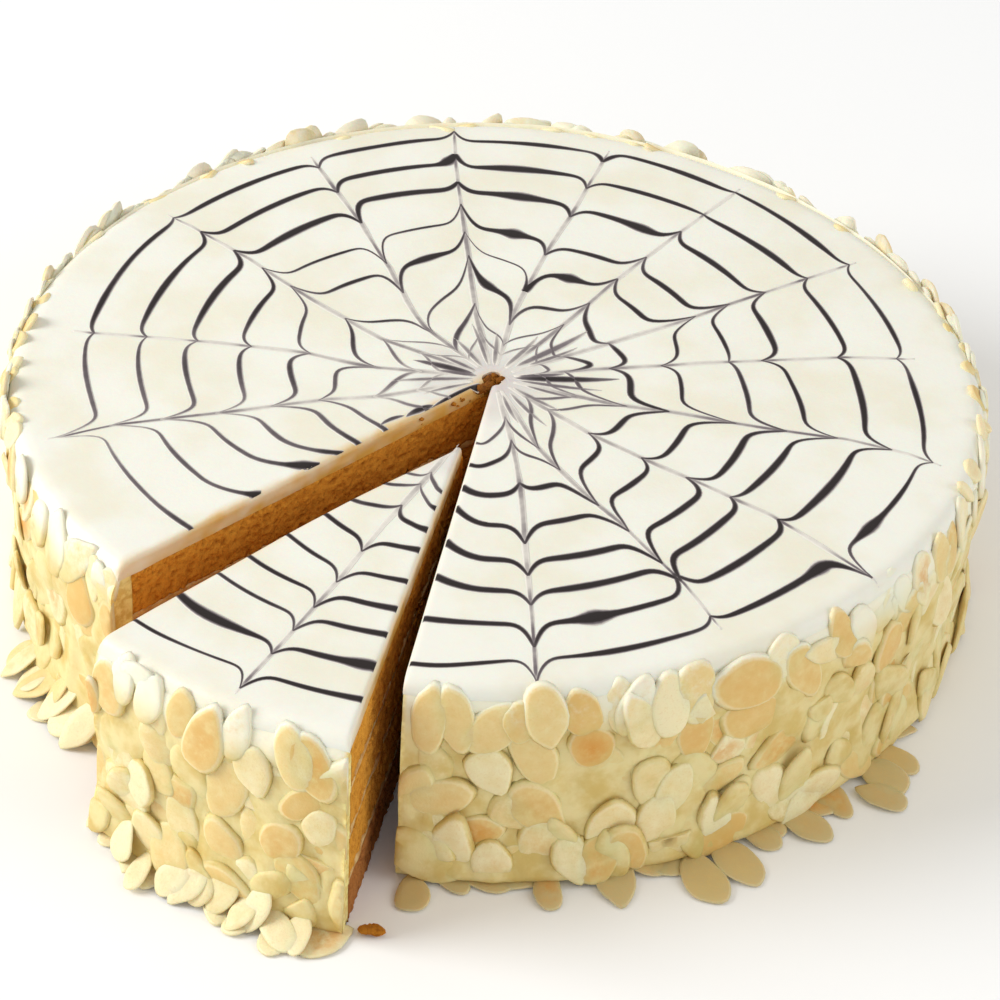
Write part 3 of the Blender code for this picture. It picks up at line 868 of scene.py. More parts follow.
# The rings of each sector, from the spoke before it to the spoke after it: radius after the one, radius
# before the other, and weight.
TORTE_RINGS = (
    ((1.045, 1.010, 0.7), (0.892, 0.893, 1.0), (0.776, 0.781, 1.2), (0.670, 0.675, 1.1),
     (0.550, 0.553, 1.0), (0.450, 0.440, 1.1), (0.350, 0.300, 0.75), (0.270, 0.190, 0.5)),
    ((1.007, 1.000, 1.0), (0.892, 0.880, 1.2), (0.785, 0.777, 1.25), (0.677, 0.676, 1.25),
     (0.552, 0.547, 1.0), (0.428, 0.420, 1.05), (0.285, 0.330, 0.5), (0.190, 0.260, 0.45)),
    ((0.990, 0.994, 1.1), (0.867, 0.853, 1.25), (0.757, 0.728, 1.2), (0.653, 0.634, 1.1),
     (0.517, 0.493, 0.8), (0.397, 0.361, 0.75), (0.288, 0.205, 0.7), (0.190, 0.125, 0.6)),
    ((0.998, 1.026, 0.7), (0.850, 0.875, 1.05), (0.709, 0.731, 0.95), (0.626, 0.624, 1.0),
     (0.487, 0.483, 0.9), (0.340, 0.342, 0.85), (0.190, 0.245, 0.6), (0.120, 0.180, 0.6)),
    ((1.030, 0.993, 0.8), (0.888, 0.861, 1.0), (0.747, 0.698, 0.7), (0.616, 0.586, 0.85),
     (0.452, 0.443, 0.65), (0.328, 0.325, 1.0), (0.215, 0.185, 0.6), (0.140, 0.120, 0.6)),
    ((0.994, 0.991, 0.7), (0.863, 0.857, 0.9), (0.695, 0.702, 0.85), (0.578, 0.582, 0.6),
     (0.453, 0.475, 0.5), (0.330, 0.318, 0.9), (0.252, 0.203, 0.6), (0.140, 0.130, 0.6)),
    ((0.999, 1.008, 0.95), (0.872, 0.870, 1.0), (0.728, 0.735, 1.05), (0.564, 0.573, 0.95),
     (0.444, 0.454, 0.85), (0.283, 0.326, 0.9), (0.170, 0.200, 0.5), (0.120, 0.150, 0.5)),
    ((1.002, 1.012, 0.9), (0.876, 0.873, 1.0), (0.730, 0.741, 1.1), (0.568, 0.563, 1.0),
     (0.453, 0.446, 1.0), (0.322, 0.303, 0.75), (0.214, 0.156, 0.4), (0.150, 0.100, 0.4)),
    ((0.999, 1.003, 0.9), (0.881, 0.884, 1.0), (0.749, 0.770, 1.3), (0.580, 0.613, 0.9),
     (0.453, 0.507, 0.35), (0.316, 0.380, 0.8), (0.160, 0.200, 0.35), (0.100, 0.140, 0.4)),
    ((1.016, 1.004, 0.95), (0.900, 0.894, 1.25), (0.784, 0.789, 1.4), (0.636, 0.625, 0.6),
     (0.520, 0.490, 0.9), (0.370, 0.290, 0.45), (0.236, 0.158, 0.8), (0.150, 0.100, 0.4)),
    ((0.992, 0.997, 1.05), (0.883, 0.875, 1.15), (0.761, 0.753, 1.2), (0.610, 0.636, 0.6),
     (0.492, 0.518, 0.8), (0.294, 0.363, 0.55), (0.170, 0.250, 0.4), (0.110, 0.150, 0.4)),
    ((0.997, 0.980, 1.0), (0.873, 0.861, 1.0), (0.747, 0.735, 1.1), (0.626, 0.615, 0.8),
     (0.514, 0.478, 0.55), (0.374, 0.333, 0.6), (0.271, 0.214, 0.6), (0.170, 0.130, 0.5)),
    ((0.977, 0.942, 0.75), (0.850, 0.821, 0.65), (0.740, 0.709, 0.75), (0.608, 0.590, 0.7),
     (0.489, 0.467, 0.75), (0.372, 0.378, 0.65), (0.205, 0.262, 0.8), (0.130, 0.170, 0.5)),
    ((0.939, 0.910, 0.55), (0.814, 0.769, 0.65), (0.694, 0.618, 0.75), (0.578, 0.530, 0.7),
     (0.440, 0.419, 0.75), (0.359, 0.330, 0.7), (0.252, 0.207, 0.7), (0.160, 0.130, 0.5)),
)
SLICE_SPOKES = (
    (((1.1, 225.0), (0.0, 225.0)), (1.010, 0.880, 0.770, 0.680, 0.566, 0.454, 0.376, 0.277, 0.21)),
    (((1.1, 243.6), (0.9, 243.9), (0.6, 244.2), (0.4, 243.6), (0.2, 244.2)),
     (1.04, 0.91, 0.82, 0.73, 0.63, 0.51, 0.32, 0.23, 0.18)),
    (((1.1, 258.6), (0.0, 258.6)), (0.970, 0.860, 0.752, 0.663, 0.566, 0.454, 0.380, 0.30, 0.24)),
)
SLICE_RINGS = (
    ((1.005, 0.979, 0.5), (0.891, 0.874, 0.9), (0.770, 0.769, 0.65), (0.682, 0.678, 0.65),
     (0.570, 0.582, 0.65), (0.457, 0.467, 0.8), (0.374, 0.342, 0.9), (0.284, 0.245, 0.7),
     (0.222, 0.205, 0.55)),
    ((0.976, 0.971, 0.9), (0.868, 0.861, 1.05), (0.760, 0.754, 0.9), (0.667, 0.664, 1.05),
     (0.572, 0.565, 0.75), (0.460, 0.454, 0.9), (0.362, 0.378, 0.9), (0.252, 0.299, 0.5),
     (0.198, 0.237, 0.7)),
)

# Thick places in the lines: angle in degrees, radius, half length in degrees, and how much wider the line is
TORTE_BLOBS = (
    (286.0, 0.885, 2.2, 1.4), (319.2, 1.005, 2.0, 1.3), (330.0, 1.000, 2.4, 1.0), (458.6, 0.915, 1.4, 1.2),
    (448.0, 0.885, 5.0, 0.6), (446.5, 0.765, 3.5, 0.8), (446.5, 0.605, 2.6, 1.3), (453.5, 0.385, 3.0, 0.8),
    (427.0, 0.440, 3.2, 1.1), (421.0, 0.735, 3.0, 0.6), (434.6, 1.005, 1.6, 0.6), (471.0, 0.508, 5.0, 0.5),
    (438.5, 0.360, 2.0, 0.7), (376.0, 0.240, 4.0, 0.3), (580.0, 0.550, 2.0, 1.0), (582.5, 0.710, 1.4, 0.8),
)
SLICE_BLOBS = ((232.0, 0.885, 5.0, 0.8), (256.5, 0.861, 2.6, 0.7), (257.8, 0.330, 2.0, 0.7))

# Strokes drawn out where the lines meet: angle, inner and outer radius, width in millimetres, and strength
CENTRE_STROKES = (
    (163.0, 0.05, 0.20, 2.6, 0.75), (171.0, 0.04, 0.14, 2.0, 0.55), (148.0, 0.05, 0.16, 1.6, 0.45),
    (186.0, 0.05, 0.24, 1.8, 0.45), (203.0, 0.06, 0.18, 1.4, 0.40), (2.0, 0.05, 0.30, 2.8, 0.85),
    (8.0, 0.06, 0.17, 2.2, 0.60), (352.0, 0.06, 0.26, 1.6, 0.50), (341.0, 0.08, 0.22, 1.4, 0.45),
    (41.0, 0.07, 0.30, 2.6, 0.50), (33.0, 0.10, 0.24, 1.6, 0.45), (58.0, 0.05, 0.20, 1.8, 0.40),
    (88.0, 0.05, 0.18, 1.6, 0.40), (104.0, 0.05, 0.22, 1.4, 0.42), (122.0, 0.05, 0.18, 1.6, 0.40),
    (323.0, 0.06, 0.20, 1.6, 0.42), (305.0, 0.07, 0.22, 1.5, 0.42), (289.0, 0.07, 0.18, 1.4, 0.40),
    (220.5, 0.03, 0.19, 2.6, 0.95), (218.5, 0.18, 0.26, 2.4, 0.85), (217.0, 0.26, 0.33, 1.6, 0.70),
)
WEBS = {
    TORTE: (TORTE_SPOKES, TORTE_RINGS, TORTE_BLOBS, CENTRE_STROKES),
    SLICE: (SLICE_SPOKES, SLICE_RINGS, SLICE_BLOBS, ()),
}

# How sharply a spoke or a cut pulls the rings, from how far, and at most over which share of a ring line
SPOKE_PULL = 4.5
SPOKE_REACH = 0.0090
CUT_PULL = 2.0
CUT_REACH = 0.0150
PULL_SHARE = 0.55

# Points along each part of a ring line, along a spoke and along a stroke
RING_STEPS = 14
SPOKE_STEPS = 120
STROKE_STEPS = 14

# A spoke begins this far outside the outer ring and ends at that share of the web's radius
SPOKE_START = 0.02
SPOKE_END = 0.05

# How far the thick places reach inwards and outwards, and how far apart lines are in the noise
BLOB_DEPTH = 0.045
NOISE_STEP = 0.1

# The lines are paler at the back left, round this direction and over that many degrees, and from this share
# of the web's radius inwards, over that share
PALE_WAY = 562.0
PALE_SPAN = 36.0
PALE_INSIDE = 0.42
PALE_DEPTH = 0.32

# A line's section: how far across in shares of its half width, how high in shares of its relief, and its ink
LINE_PROFILE = (
    (-1.0, -4.0, 0.0), (-1.0, 0.1, 0.0), (-0.68, 0.45, 0.55), (-0.42, 0.9, 0.95), (0.0, 1.0, 1.0),
    (0.42, 0.9, 0.95), (0.68, 0.45, 0.55), (1.0, 0.1, 0.0), (1.0, -4.0, 0.0),
)
LINE_MARGIN = 0.4


def spoke_angle(bends, radius):
    """A spoke's angle in degrees at that share of the web's radius."""
    shares = [share for share, _ in bends][::-1]
    return np.interp(radius, shares, [angle for _, angle in bends][::-1])


def web_plan(wedge, radius, angle):
    """Points in plan at those shares of the web's radius and at those directions in degrees."""
    turned = np.radians(np.asarray(angle) - math.degrees(wedge.first))
    return wedge.place(np.asarray(radius) * WEB_RADIUS, turned)


def line_swell(share, from_cut, to_cut):
    """How full a ring line is along its length: thin where a spoke has dragged it, full at a cut."""
    swell = np.clip(np.sin(math.pi * share), 0.0, 1.0) ** 0.6
    if from_cut:
        swell = np.where(share < 0.5, 1.0, swell)
    if to_cut:
        swell = np.where(share > 0.5, 1.0 + 1.1 * np.clip(share - 0.6, 0.0, 1.0), swell)
    return swell


def ring_points(before, after, ring, levels, from_cut, to_cut):
    """Radii and angles along one ring line, pulled to a point at each spoke, and the shares of its length."""
    start_level, end_level, _ = levels
    middle = (start_level + end_level) / 2
    opening = math.radians(spoke_angle(after[0], middle) - spoke_angle(before[0], middle))
    span = opening * middle * WEB_RADIUS
    ends = np.linspace(0.0, 1.0, RING_STEPS) ** 2.0 * min(SPOKE_REACH / span, 0.5)
    share = np.unique(np.concatenate([ends, np.linspace(ends[-1], 1.0 - ends[-1], RING_STEPS), 1.0 - ends]))
    eased = share * share * (3 - 2 * share)
    level = start_level + (end_level - start_level) * eased
    radius = level
    for spoke, at_cut, apart in ((before, from_cut, share), (after, to_cut, 1.0 - share)):
        reach = min(CUT_REACH if at_cut else SPOKE_REACH, PULL_SHARE * span)
        pull = np.clip(1.0 - apart * span / reach, 0.0, 1.0) ** (CUT_PULL if at_cut else SPOKE_PULL)
        radius = radius + (spoke[1][ring] - level) * pull
    angle = spoke_angle(before[0], radius) * (1.0 - share) + spoke_angle(after[0], radius) * share
    return radius, angle, share


def spoke_line(wedge, web, spoke, levels, seat):
    """Plan, half width and ink of the haze along a spoke, darker where it has drawn out each ring."""
    bends, pulls = spoke
    outer = max(pulls[0], 1.0) + SPOKE_START
    radius = np.linspace(outer, SPOKE_END, SPOKE_STEPS)
    plan = web_plan(wedge, radius, spoke_angle(bends, radius))
    deep = in_space(plan, seat)
    fade = np.clip((radius - SPOKE_END) / 0.1, 0.0, 1.0) * np.clip((outer - radius) / 0.05, 0.0, 1.0)
    width = 0.28 + 0.20 * (1.0 - radius) + 0.08 * soft_noise(deep, 0.009, 21)
    ink = 0.27 - 0.16 * radius + 0.10 * soft_noise(deep, 0.012, 22)
    for ring, (pull, level) in enumerate(zip(pulls, levels)):
        tail = (radius - (pull + level) / 2) / (abs(pull - level) / 2 + 0.012)
        ink = ink + (0.34 - 0.04 * ring) * np.exp(-(tail**2))
    return plan, web.drag_width * width * (0.4 + 0.6 * fade), ink * (0.4 + 0.6 * fade)


def ring_line(wedge, web, spokes, ring, levels, blobs, cuts):
    """Plan, half width and ink of one ring line between two spokes."""
    radius, angle, share = ring_points(*spokes, ring, levels, *cuts)
    plan = web_plan(wedge, radius, angle)
    deep = in_space(plan, ring * NOISE_STEP)
    wander = 1.0 + 0.22 * soft_noise(deep, 0.011, 23)
    width = web.line_width * levels[2] * (0.30 + 0.70 * line_swell(share, *cuts)) * wander
    for blob_angle, blob_radius, reach, extra in blobs:
        near = ((angle - blob_angle) / reach) ** 2 + ((radius - blob_radius) / BLOB_DEPTH) ** 2
        width = width + web.line_width * extra * np.exp(-near)
    inner = np.clip((PALE_INSIDE - radius) / PALE_DEPTH, 0.0, 1.0)
    left = np.exp(-(((angle - PALE_WAY) / PALE_SPAN) ** 2))
    full = np.clip(width / web.line_width, 0.0, 1.1)
    ink = 0.46 + 0.58 * full - 0.30 * inner - 0.26 * left + 0.10 * soft_noise(deep, 0.015, 24)
    return plan, width / 2, np.clip(ink, 0.16, 1.0)


def stroke_line(wedge, angle, inner_end, outer_end, width, strength):
    """Plan, half width and ink of a stroke drawn out where the lines meet."""
    share = np.linspace(0.0, 1.0, STROKE_STEPS)
    plan = web_plan(wedge, inner_end + (outer_end - inner_end) * share, angle + 5.0 * (share - 0.5) ** 2)
    swell = np.sin(math.pi * share**0.8) ** 0.7
    return plan, 0.5 * MM * width * (0.12 + swell), strength * (0.4 + 0.6 * swell)


def add_line(heap, wedge, icing, relief, plan, half, ink):
    """Adds one line of the web as a low closed ridge that lies on the icing."""
    side = left_of(np.gradient(plan, axis=0))
    columns, inks = [], []
    for across, lift, strength in LINE_PROFILE:
        points = inside_cuts(wedge, plan + side * (half * across)[:, None], LINE_MARGIN * icing.cut_rounding)
        columns.append(in_space(points, icing_height(wedge, points, icing) + relief * lift))
        inks.append(ink * strength)
    rings = np.arange(len(plan) * len(columns)).reshape(len(plan), len(columns))
    faces = flipped(lofted(rings)) + [cap(rings[0]), cap(rings[-1][::-1])]
    heap.add(np.stack(columns, 1).reshape(-1, 3), faces, ink=np.stack(inks, 1).ravel())


def make_web(wedge, icing, web, material):
    """All the lines of one wedge's web: the drawn-out spokes, the rings, and the strokes at the centre."""
    spokes, rings, blobs, strokes = WEBS[wedge]
    heap = Heap()
    for k, spoke in enumerate(spokes[1:-1]):
        line = spoke_line(wedge, web, spoke, [level for _, level, _ in rings[k]], k * NOISE_STEP)
        add_line(heap, wedge, icing, web.relief * 0.5, *line)
    for sector, lines in enumerate(rings):
        cuts = sector == 0, sector == len(rings) - 1
        for ring, levels in enumerate(lines):
            line = ring_line(wedge, web, spokes[sector : sector + 2], ring, levels, blobs, cuts)
            add_line(heap, wedge, icing, web.relief, *line)
    for stroke in strokes:
        add_line(heap, wedge, icing, web.relief, *stroke_line(wedge, *stroke))
    return heap.piece(wedge.node("web"), material)


# The layers that the cuts show


# Painted shade: the crumb grows darker down to this depth under the icing, by this share of the darkest
# colour
SHADE_DEPTH = 0.0130
SHADE = 0.24

# A cut face lies back by this much, and its relief fades out over these distances from the point and the rim
FACE_SINK = 0.0003
POINT_FADE = 0.0012
RIM_SIDE_FADE = 0.0005
ARC_STEP = math.radians(4)


def make_cut_layer(wedge, part, material, slot, relief, pitch, overlap):
    """One layer as a closed piece whose two cut faces carry relief, from relief(along, height, seed)."""
    low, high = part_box(wedge.node(part))
    torte_low, torte_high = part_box("torte_" + part)
    outer = (torte_high.x - torte_low.x) / 2
    bottom = max(low.z - overlap, 0.0)
    top = high.z + overlap
    rows = max(3, int(round((top - bottom) / pitch)))
    along = np.linspace(wedge.tip, outer, int(outer / pitch))
    arc = np.linspace(0.0, wedge.sweep, max(4, int(wedge.sweep / ARC_STEP)))[1:-1]
    radius = np.concatenate([along, np.full(len(arc), outer), along[::-1]])
    angle = np.concatenate([np.zeros(len(along)), arc, np.full(len(along), wedge.sweep)])
    side = np.repeat([1, 0, 2], [len(along), len(arc), len(along)])
    ways = np.array([(0.0, 0.0), heading(wedge.first - math.pi / 2), heading(wedge.last + math.pi / 2)])
    plan = wedge.place(radius, angle)
    fade = np.clip((radius - wedge.tip) / POINT_FADE, 0.0, 1.0)
    fade *= np.clip((outer - radius) / RIM_SIDE_FADE, 0.0, 1.0)
    points, pores = [], []
    for height in np.linspace(bottom, top, rows):
        push = np.zeros(len(plan))
        pore = np.zeros(len(plan))
        for face in (1, 2):
            here = side == face
            heights = np.full(here.sum(), height)
            push[here], pore[here] = relief(radius[here], heights, 100 * face + WEDGES.index(wedge))
        points.append(in_space(plan + ways[side] * (push * fade)[:, None], height))
        pores.append(pore * fade)
    rings = np.arange(rows * len(plan)).reshape(rows, len(plan))
    faces = lofted(rings) + [cap(rings[0][::-1]), cap(rings[-1])]
    points = np.concatenate(points)
    # Painted shade: the crumb is darkened deeper under the icing, and the pore mark carries this shade along
    # with the pores
    depth = np.clip((ICING_BOTTOM - points[:, 2]) / SHADE_DEPTH, 0.0, 1.0)
    marks = {"pore": np.maximum(np.concatenate(pores), SHADE * depth)}
    piece = new_piece(wedge.node("cut_" + part), points, faces, material, slot, marks)
    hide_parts(wedge.node(part))
    return piece


# The share of cells that hold a pore, and the same of small pores with their size in shares of the others'
PORES = 0.62
SMALL_PORES = 0.5
SMALL_PORE_SIZE = 0.45


def sponge_relief(sponge):
    """Crumb: a slow bulge, two sizes of grain, and pores."""

    def relief(along, height, seed):
        deep = np.column_stack([along, height, np.zeros(len(along))])
        pore = pore_depth(along, height, sponge.pore_size, PORES, seed + 3)
        small = pore_depth(along, height, sponge.pore_size * SMALL_PORE_SIZE, SMALL_PORES, seed + 13)
        push = 0.9 * sponge.grain * soft_noise(deep, 0.0055, seed)
        push += sponge.grain * soft_noise(deep, 0.0017, seed + 1)
        push += 0.8 * sponge.grain * soft_noise(deep, 0.0008, seed + 2)
        push -= sponge.pore_depth * (pore**1.3) + 0.45 * sponge.pore_depth * small
        return push - FACE_SINK, np.clip(0.8 * pore + 0.5 * small, 0.0, 1.0)

    return relief


def filling_relief(sponge):
    """Cream dragged by the knife: soft waves that lie a little back from the crumb."""

    def relief(along, height, seed):
        deep = np.column_stack([along * 0.4, height, np.zeros(len(along))])
        push = 0.8 * sponge.grain * soft_noise(deep, 0.0024, seed + 31)
        push += 0.4 * sponge.grain * soft_noise(deep, 0.0009, seed + 32)
        return push - FACE_SINK, np.clip(0.3 + 0.5 * soft_noise(deep, 0.003, seed + 33), 0.0, 1.0)

    return relief


# The cream coat and the almonds


# The coat's outer radius at the icing, at its waist and at its foot, and how high its waist and foot are
COAT_TOP_RADIUS = 0.1195
COAT_WAIST_RADIUS = 0.1212
COAT_FOOT_RADIUS = 0.1246
COAT_WAIST_HEIGHT = 0.0160
COAT_FOOT = 0.0008


def coat_radius(wedge, angle, height):
    """The coat's outer radius: a flared foot below the waist, then a nearly upright wall."""
    heights = (0.0, COAT_WAIST_HEIGHT, ICING_BOTTOM, ICING_TOP)
    wall = np.interp(height, heights, (COAT_FOOT_RADIUS, COAT_WAIST_RADIUS, COAT_TOP_RADIUS, COAT_TOP_RADIUS))
    return wall + bulge(wedge, angle, height)


# Rows of points up the wall, then heights of the lip over the icing's underside, which rises behind
COAT_WALL_ROWS = 50
COAT_LIP = (0.0008, 0.0016, 0.0024, 0.0032)
COAT_FAR_RISE = 0.22

# The lip steps in over the icing by this much, by more within that distance of a cut, and then leans in,
# less so behind
LIP_STEP = 0.0006
CUT_LIP_STEP = 0.0026
CUT_LIP_REACH = 0.0025
LIP_LEAN = 9.0
FAR_UPRIGHT = 0.60

# The foot is undercut by this much up to that height, and the crest below the icing drops back a little
COAT_UNDERCUT = 0.0022
COAT_UNDERCUT_HEIGHT = 0.0032
COAT_CREST = 0.0520
COAT_CREST_DROP = 0.0009

# The inner side leans in by this share of its height, as the sponges do
CORE_LEAN = 0.031

# The steps round the coat, its distance from the cuts, and the rows of points across a cut
COAT_STEP = math.radians(0.55)
COAT_INSET = 0.0002
COAT_CAP_SHARES = (0.2, 0.4, 0.6, 0.8)
COAT_CAP_SINK = 0.0002
COAT_PATCH_SCALE = 120.0


def coat_lumps(coat, deep):
    """How far the coat stands out at each point: broad lumps, smaller ones and upright smears."""
    lumps = coat.lump * soft_noise(deep, 0.0125, 41) + 0.7 * coat.lump * soft_noise(deep, 0.0058, 42)
    lumps = lumps + coat.smear * soft_noise(deep * (1.0, 1.0, 0.5), 0.0026, 43)
    crest = np.clip((deep[:, 2] - COAT_CREST) / (ICING_BOTTOM - COAT_CREST), 0.0, 1.0)
    return lumps * (1.0 - 0.8 * crest) - COAT_CREST_DROP * crest**2


def rim_share(deep):
    """How far each point of the coat or its flakes takes the paler colour found just under the icing."""
    reach = 0.009 + 0.004 * soft_noise(deep, 0.010, 44)
    return np.clip(1.15 - (ICING_BOTTOM - deep[:, 2]) / reach, 0.0, 1.0)


def coat_section(wedge, angle, coat, inner):
    """The coat's outline at that angle, up the outside, over the icing's rim and down the inside."""
    behind = max(math.sin(wedge.first + angle), 0.0) ** 0.5
    lip = ICING_BOTTOM + np.array(COAT_LIP) * (1.0 + COAT_FAR_RISE * behind)
    height = np.concatenate([np.linspace(COAT_FOOT, ICING_BOTTOM, COAT_WALL_ROWS), lip])
    turned = np.full(len(height), angle)
    wall = coat_radius(wedge, turned, height)
    deep = in_space(wedge.place(wall, turned), height)
    foot = np.clip((height - COAT_FOOT) / COAT_UNDERCUT_HEIGHT, 0.0, 1.0)
    wall = wall + coat_lumps(coat, deep) * (0.3 + 0.7 * foot) - COAT_UNDERCUT * (1.0 - foot) ** 2
    above = np.clip(height - ICING_BOTTOM, 0.0, None)
    whole = np.clip(min(angle, wedge.sweep - angle) * COAT_TOP_RADIUS / CUT_LIP_REACH, 0.0, 1.0)
    step = CUT_LIP_STEP * (1.0 - whole) + LIP_STEP * whole
    tuck = LIP_LEAN * above**1.5 * (1.0 - FAR_UPRIGHT * behind) + step * (above > 0)
    tuck -= (COAT_CREST_DROP + LIP_STEP) * behind * (height > COAT_CREST)
    outer = np.where(height > COAT_CREST, wall - tuck, wall)
    low = np.linspace(COAT_FOOT, ICING_BOTTOM, len(height))[::-1]
    plan = np.concatenate([wedge.place(outer, turned), wedge.place(inner - CORE_LEAN * low, turned)])
    paler = np.concatenate([rim_share(deep), np.zeros(len(low))])
    return in_space(plan, np.concatenate([height, low])), paler


def make_coat(wedge, coat, material):
    """The cream round the side, lumpy where the flakes were pressed in, rough where it is cut."""
    inset = COAT_INSET / COAT_TOP_RADIUS
    angles = np.linspace(inset, wedge.sweep - inset, max(8, int(wedge.sweep / COAT_STEP)))
    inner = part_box("torte_sponge_1")[1].x - AXIS[0] + coat.inner_gap
    sections, rims = zip(*(coat_section(wedge, angle, coat, inner) for angle in angles))
    half = len(sections[0]) // 2
    grid = np.arange(len(angles) * 2 * half).reshape(len(angles), 2 * half)
    # The cut's colour, with its painted light, goes on the wall at the cuts and on the caps through the haze
    # mark
    borders = np.zeros(grid.shape)
    borders[[0, -1]] = 0.9
    heap = Heap()
    heap.add(np.concatenate(sections), flipped(lofted(grid)), edge=np.concatenate(rims), haze=borders.ravel())
    for end, way in ((0, wedge.first - math.pi / 2), (-1, wedge.last + math.pi / 2)):
        rows = [grid[end][:half]]
        for share in COAT_CAP_SHARES:
            spots = sections[end][:half] * (1.0 - share) + sections[end][half:][::-1] * share
            rough = layered_noise(spots, (0.00035, 0.0021, 45), (0.0002, 0.0009, 46)) - COAT_CAP_SINK
            spots[:, :2] += rough[:, None] * heading(way)
            rows.append(heap.count + np.arange(half))
            blotches = np.clip(0.90 + 0.35 * soft_noise(spots, 0.0030, 47), 0.0, 1.0)
            heap.add(spots, [], edge=np.zeros(half), haze=blotches)
        rows.append(grid[end][half:][::-1])
        faces = lofted(rows, closed=False) + [cap(row[-1] for row in rows), cap(row[0] for row in rows)[::-1]]
        heap.faces += flipped(faces) if end == 0 else faces
    piece = heap.piece(wedge.node("cream_coat"), material, "almond", 50)
    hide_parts(wedge.node("almond_coat"))
    return piece


# A flake's corners, and from its middle over its edge to its back how much of the warm core and of the coat's
# cream each ring shows. Rings without core get the painted highlight of a pale rim.
FLAKE_CORNERS = 22
FLAKE_CORES = (0.75, 0.3, 0.0, 0.0, 0.0)
FLAKE_VEILS = (0.0, 0.0, 0.20, 0.75, 1.4)

# How flakes differ, in shares of a whole flake: size, length, width, taper, tip and where they are broken;
# then the slope of the break, thickness, and the largest bend and twist in metres
FLAKE_SIZES = (0.74, 1.12)
FLAKE_LENGTHS = (0.92, 1.08)
FLAKE_WIDTHS = (0.80, 1.12)
FLAKE_TAPERS = (0.06, 0.26)
FLAKE_TIPS = (0.0, 0.13)
FLAKE_BREAKS = (-0.05, 0.30)
FLAKE_SLANTS = (-0.35, 0.35)
FLAKE_THICKNESSES = (0.85, 1.15)
FLAKE_BEND = 0.0007
FLAKE_TWIST = 0.0004

# The waves round a flake and their heights, and how far round its tip reaches
FLAKE_WAVES = ((3, 0.04), (5, 0.025))
FLAKE_TIP_REACH = 0.38

# A wide skirt shows all of the cream's veil, and a narrow one this share of it
WIDE_SKIRT = 0.09
NARROW_VEIL = 0.35


def flake_rings(skirt):
    """How far out and how high each ring lies, from the middle over the edge to the back.

    With a skirt, a fillet of cream leads from the flake's edge down into the coat, that much further out.
    """
    if skirt > 0:
        return (0.55, 0.5), (0.90, 0.46), (1.0, 0.14), (1.0 + 0.45 * skirt, -0.5), (1.0 + skirt, -1.6)
    return (0.55, 0.5), (0.90, 0.46), (1.0, 0.0), (0.97, -0.3), (0.88, -0.5)


def flake_faces():
    """Faces of a flake: its rings, and a middle point."""
    rings = np.arange(len(FLAKE_CORES) * FLAKE_CORNERS).reshape(-1, FLAKE_CORNERS)
    fan = [cap((rings.size, *pair)) for pair in zip(rings[0], np.roll(rings[0], -1))]
    return flipped(lofted(rings)) + fan + [cap(rings[-1][::-1])]


FLAKE_FACES = flake_faces()


def flake_shape(almonds, draw, skirt, size):
    """One flake's points, flat with its length along x, and each point's warm core and veil of cream.

    The size is the flake's length and width where they are known, or None.
    """
    scale = draw.uniform(*FLAKE_SIZES)
    long = almonds.length * scale * draw.uniform(*FLAKE_LENGTHS)
    wide = almonds.width * scale * draw.uniform(*FLAKE_WIDTHS)
    if size:
        long, wide = size
    taper = draw.uniform(*FLAKE_TAPERS) * (0.5 if size else 1.0)
    turns = np.arange(FLAKE_CORNERS) * 2 * math.pi / FLAKE_CORNERS
    wobble = 1.0
    for waves, height in FLAKE_WAVES:
        wobble = wobble + height * np.sin(waves * turns + draw.uniform(0, 6))
    from_tip = np.minimum(turns, 2 * math.pi - turns)
    tip = draw.uniform(*FLAKE_TIPS) * np.exp(-((from_tip / FLAKE_TIP_REACH) ** 2))
    rim_x = long * (np.cos(turns) * 0.5 * wobble + tip * 0.5)
    rim_y = wide * 0.5 * np.sin(turns) * (1.0 - taper * np.cos(turns)) * wobble
    if draw.random() < almonds.broken and not size:
        limit = long * draw.uniform(*FLAKE_BREAKS)
        rim_x = np.minimum(rim_x, limit + draw.uniform(*FLAKE_SLANTS) * rim_y)
    thick = almonds.thickness * draw.uniform(*FLAKE_THICKNESSES)
    rim = np.column_stack([rim_x, rim_y])
    points = [in_space(rim * share, thick * lift) for share, lift in flake_rings(skirt)]
    flat = np.concatenate([*points, [[0.0, 0.0, thick * 0.5]]])
    bend = draw.uniform(-0.1, 1.0) * FLAKE_BEND
    twist = draw.uniform(-1.0, 1.0) * FLAKE_TWIST
    along = flat[:, 0] / (long / 2)
    across = flat[:, 1] / (wide / 2)
    flat[:, 2] += -bend * along**2 - 0.4 * bend * across**2 + twist * along * across
    core = np.append(np.repeat(FLAKE_CORES, FLAKE_CORNERS), 1.0)
    veil = np.append(np.repeat(FLAKE_VEILS, FLAKE_CORNERS), 0.0)
    return flat, core, veil * (1.0 if skirt > WIDE_SKIRT else NARROW_VEIL if skirt > 0 else 0.0)


# A flake's place: angle, height, distance off the coat, spin in its plane, tilt about the level, yaw, skirt
# of cream, and its own size, warmth and toasting where they are known. A flake without a skirt lies free.
Site = namedtuple("Site", "angle height stand spin tilt yaw skirt own")


def flake_frame(wedge, site, reach, turned):
    """Lays a flake at that radius, face outwards, spun in its plane and tilted about the level."""
    outward = Vector((*heading(wedge.first + site.angle), 0.0))
    upward = Vector((0.0, 0.0, 1.0))
    sideways = upward.cross(outward)
    turn = Matrix((upward, sideways * -1.0, outward)).transposed().to_4x4()
    spot = Vector((*wedge.axis, site.height)) + outward * reach
    turns = ((site.tilt, "Y"), (site.yaw, "X"), (site.spin + turned, "Z"))
    tilt, yaw, spin = (Matrix.Rotation(angle, 4, axis) for angle, axis in turns)
    return Matrix.Translation(spot) @ turn @ (tilt @ yaw @ spin)


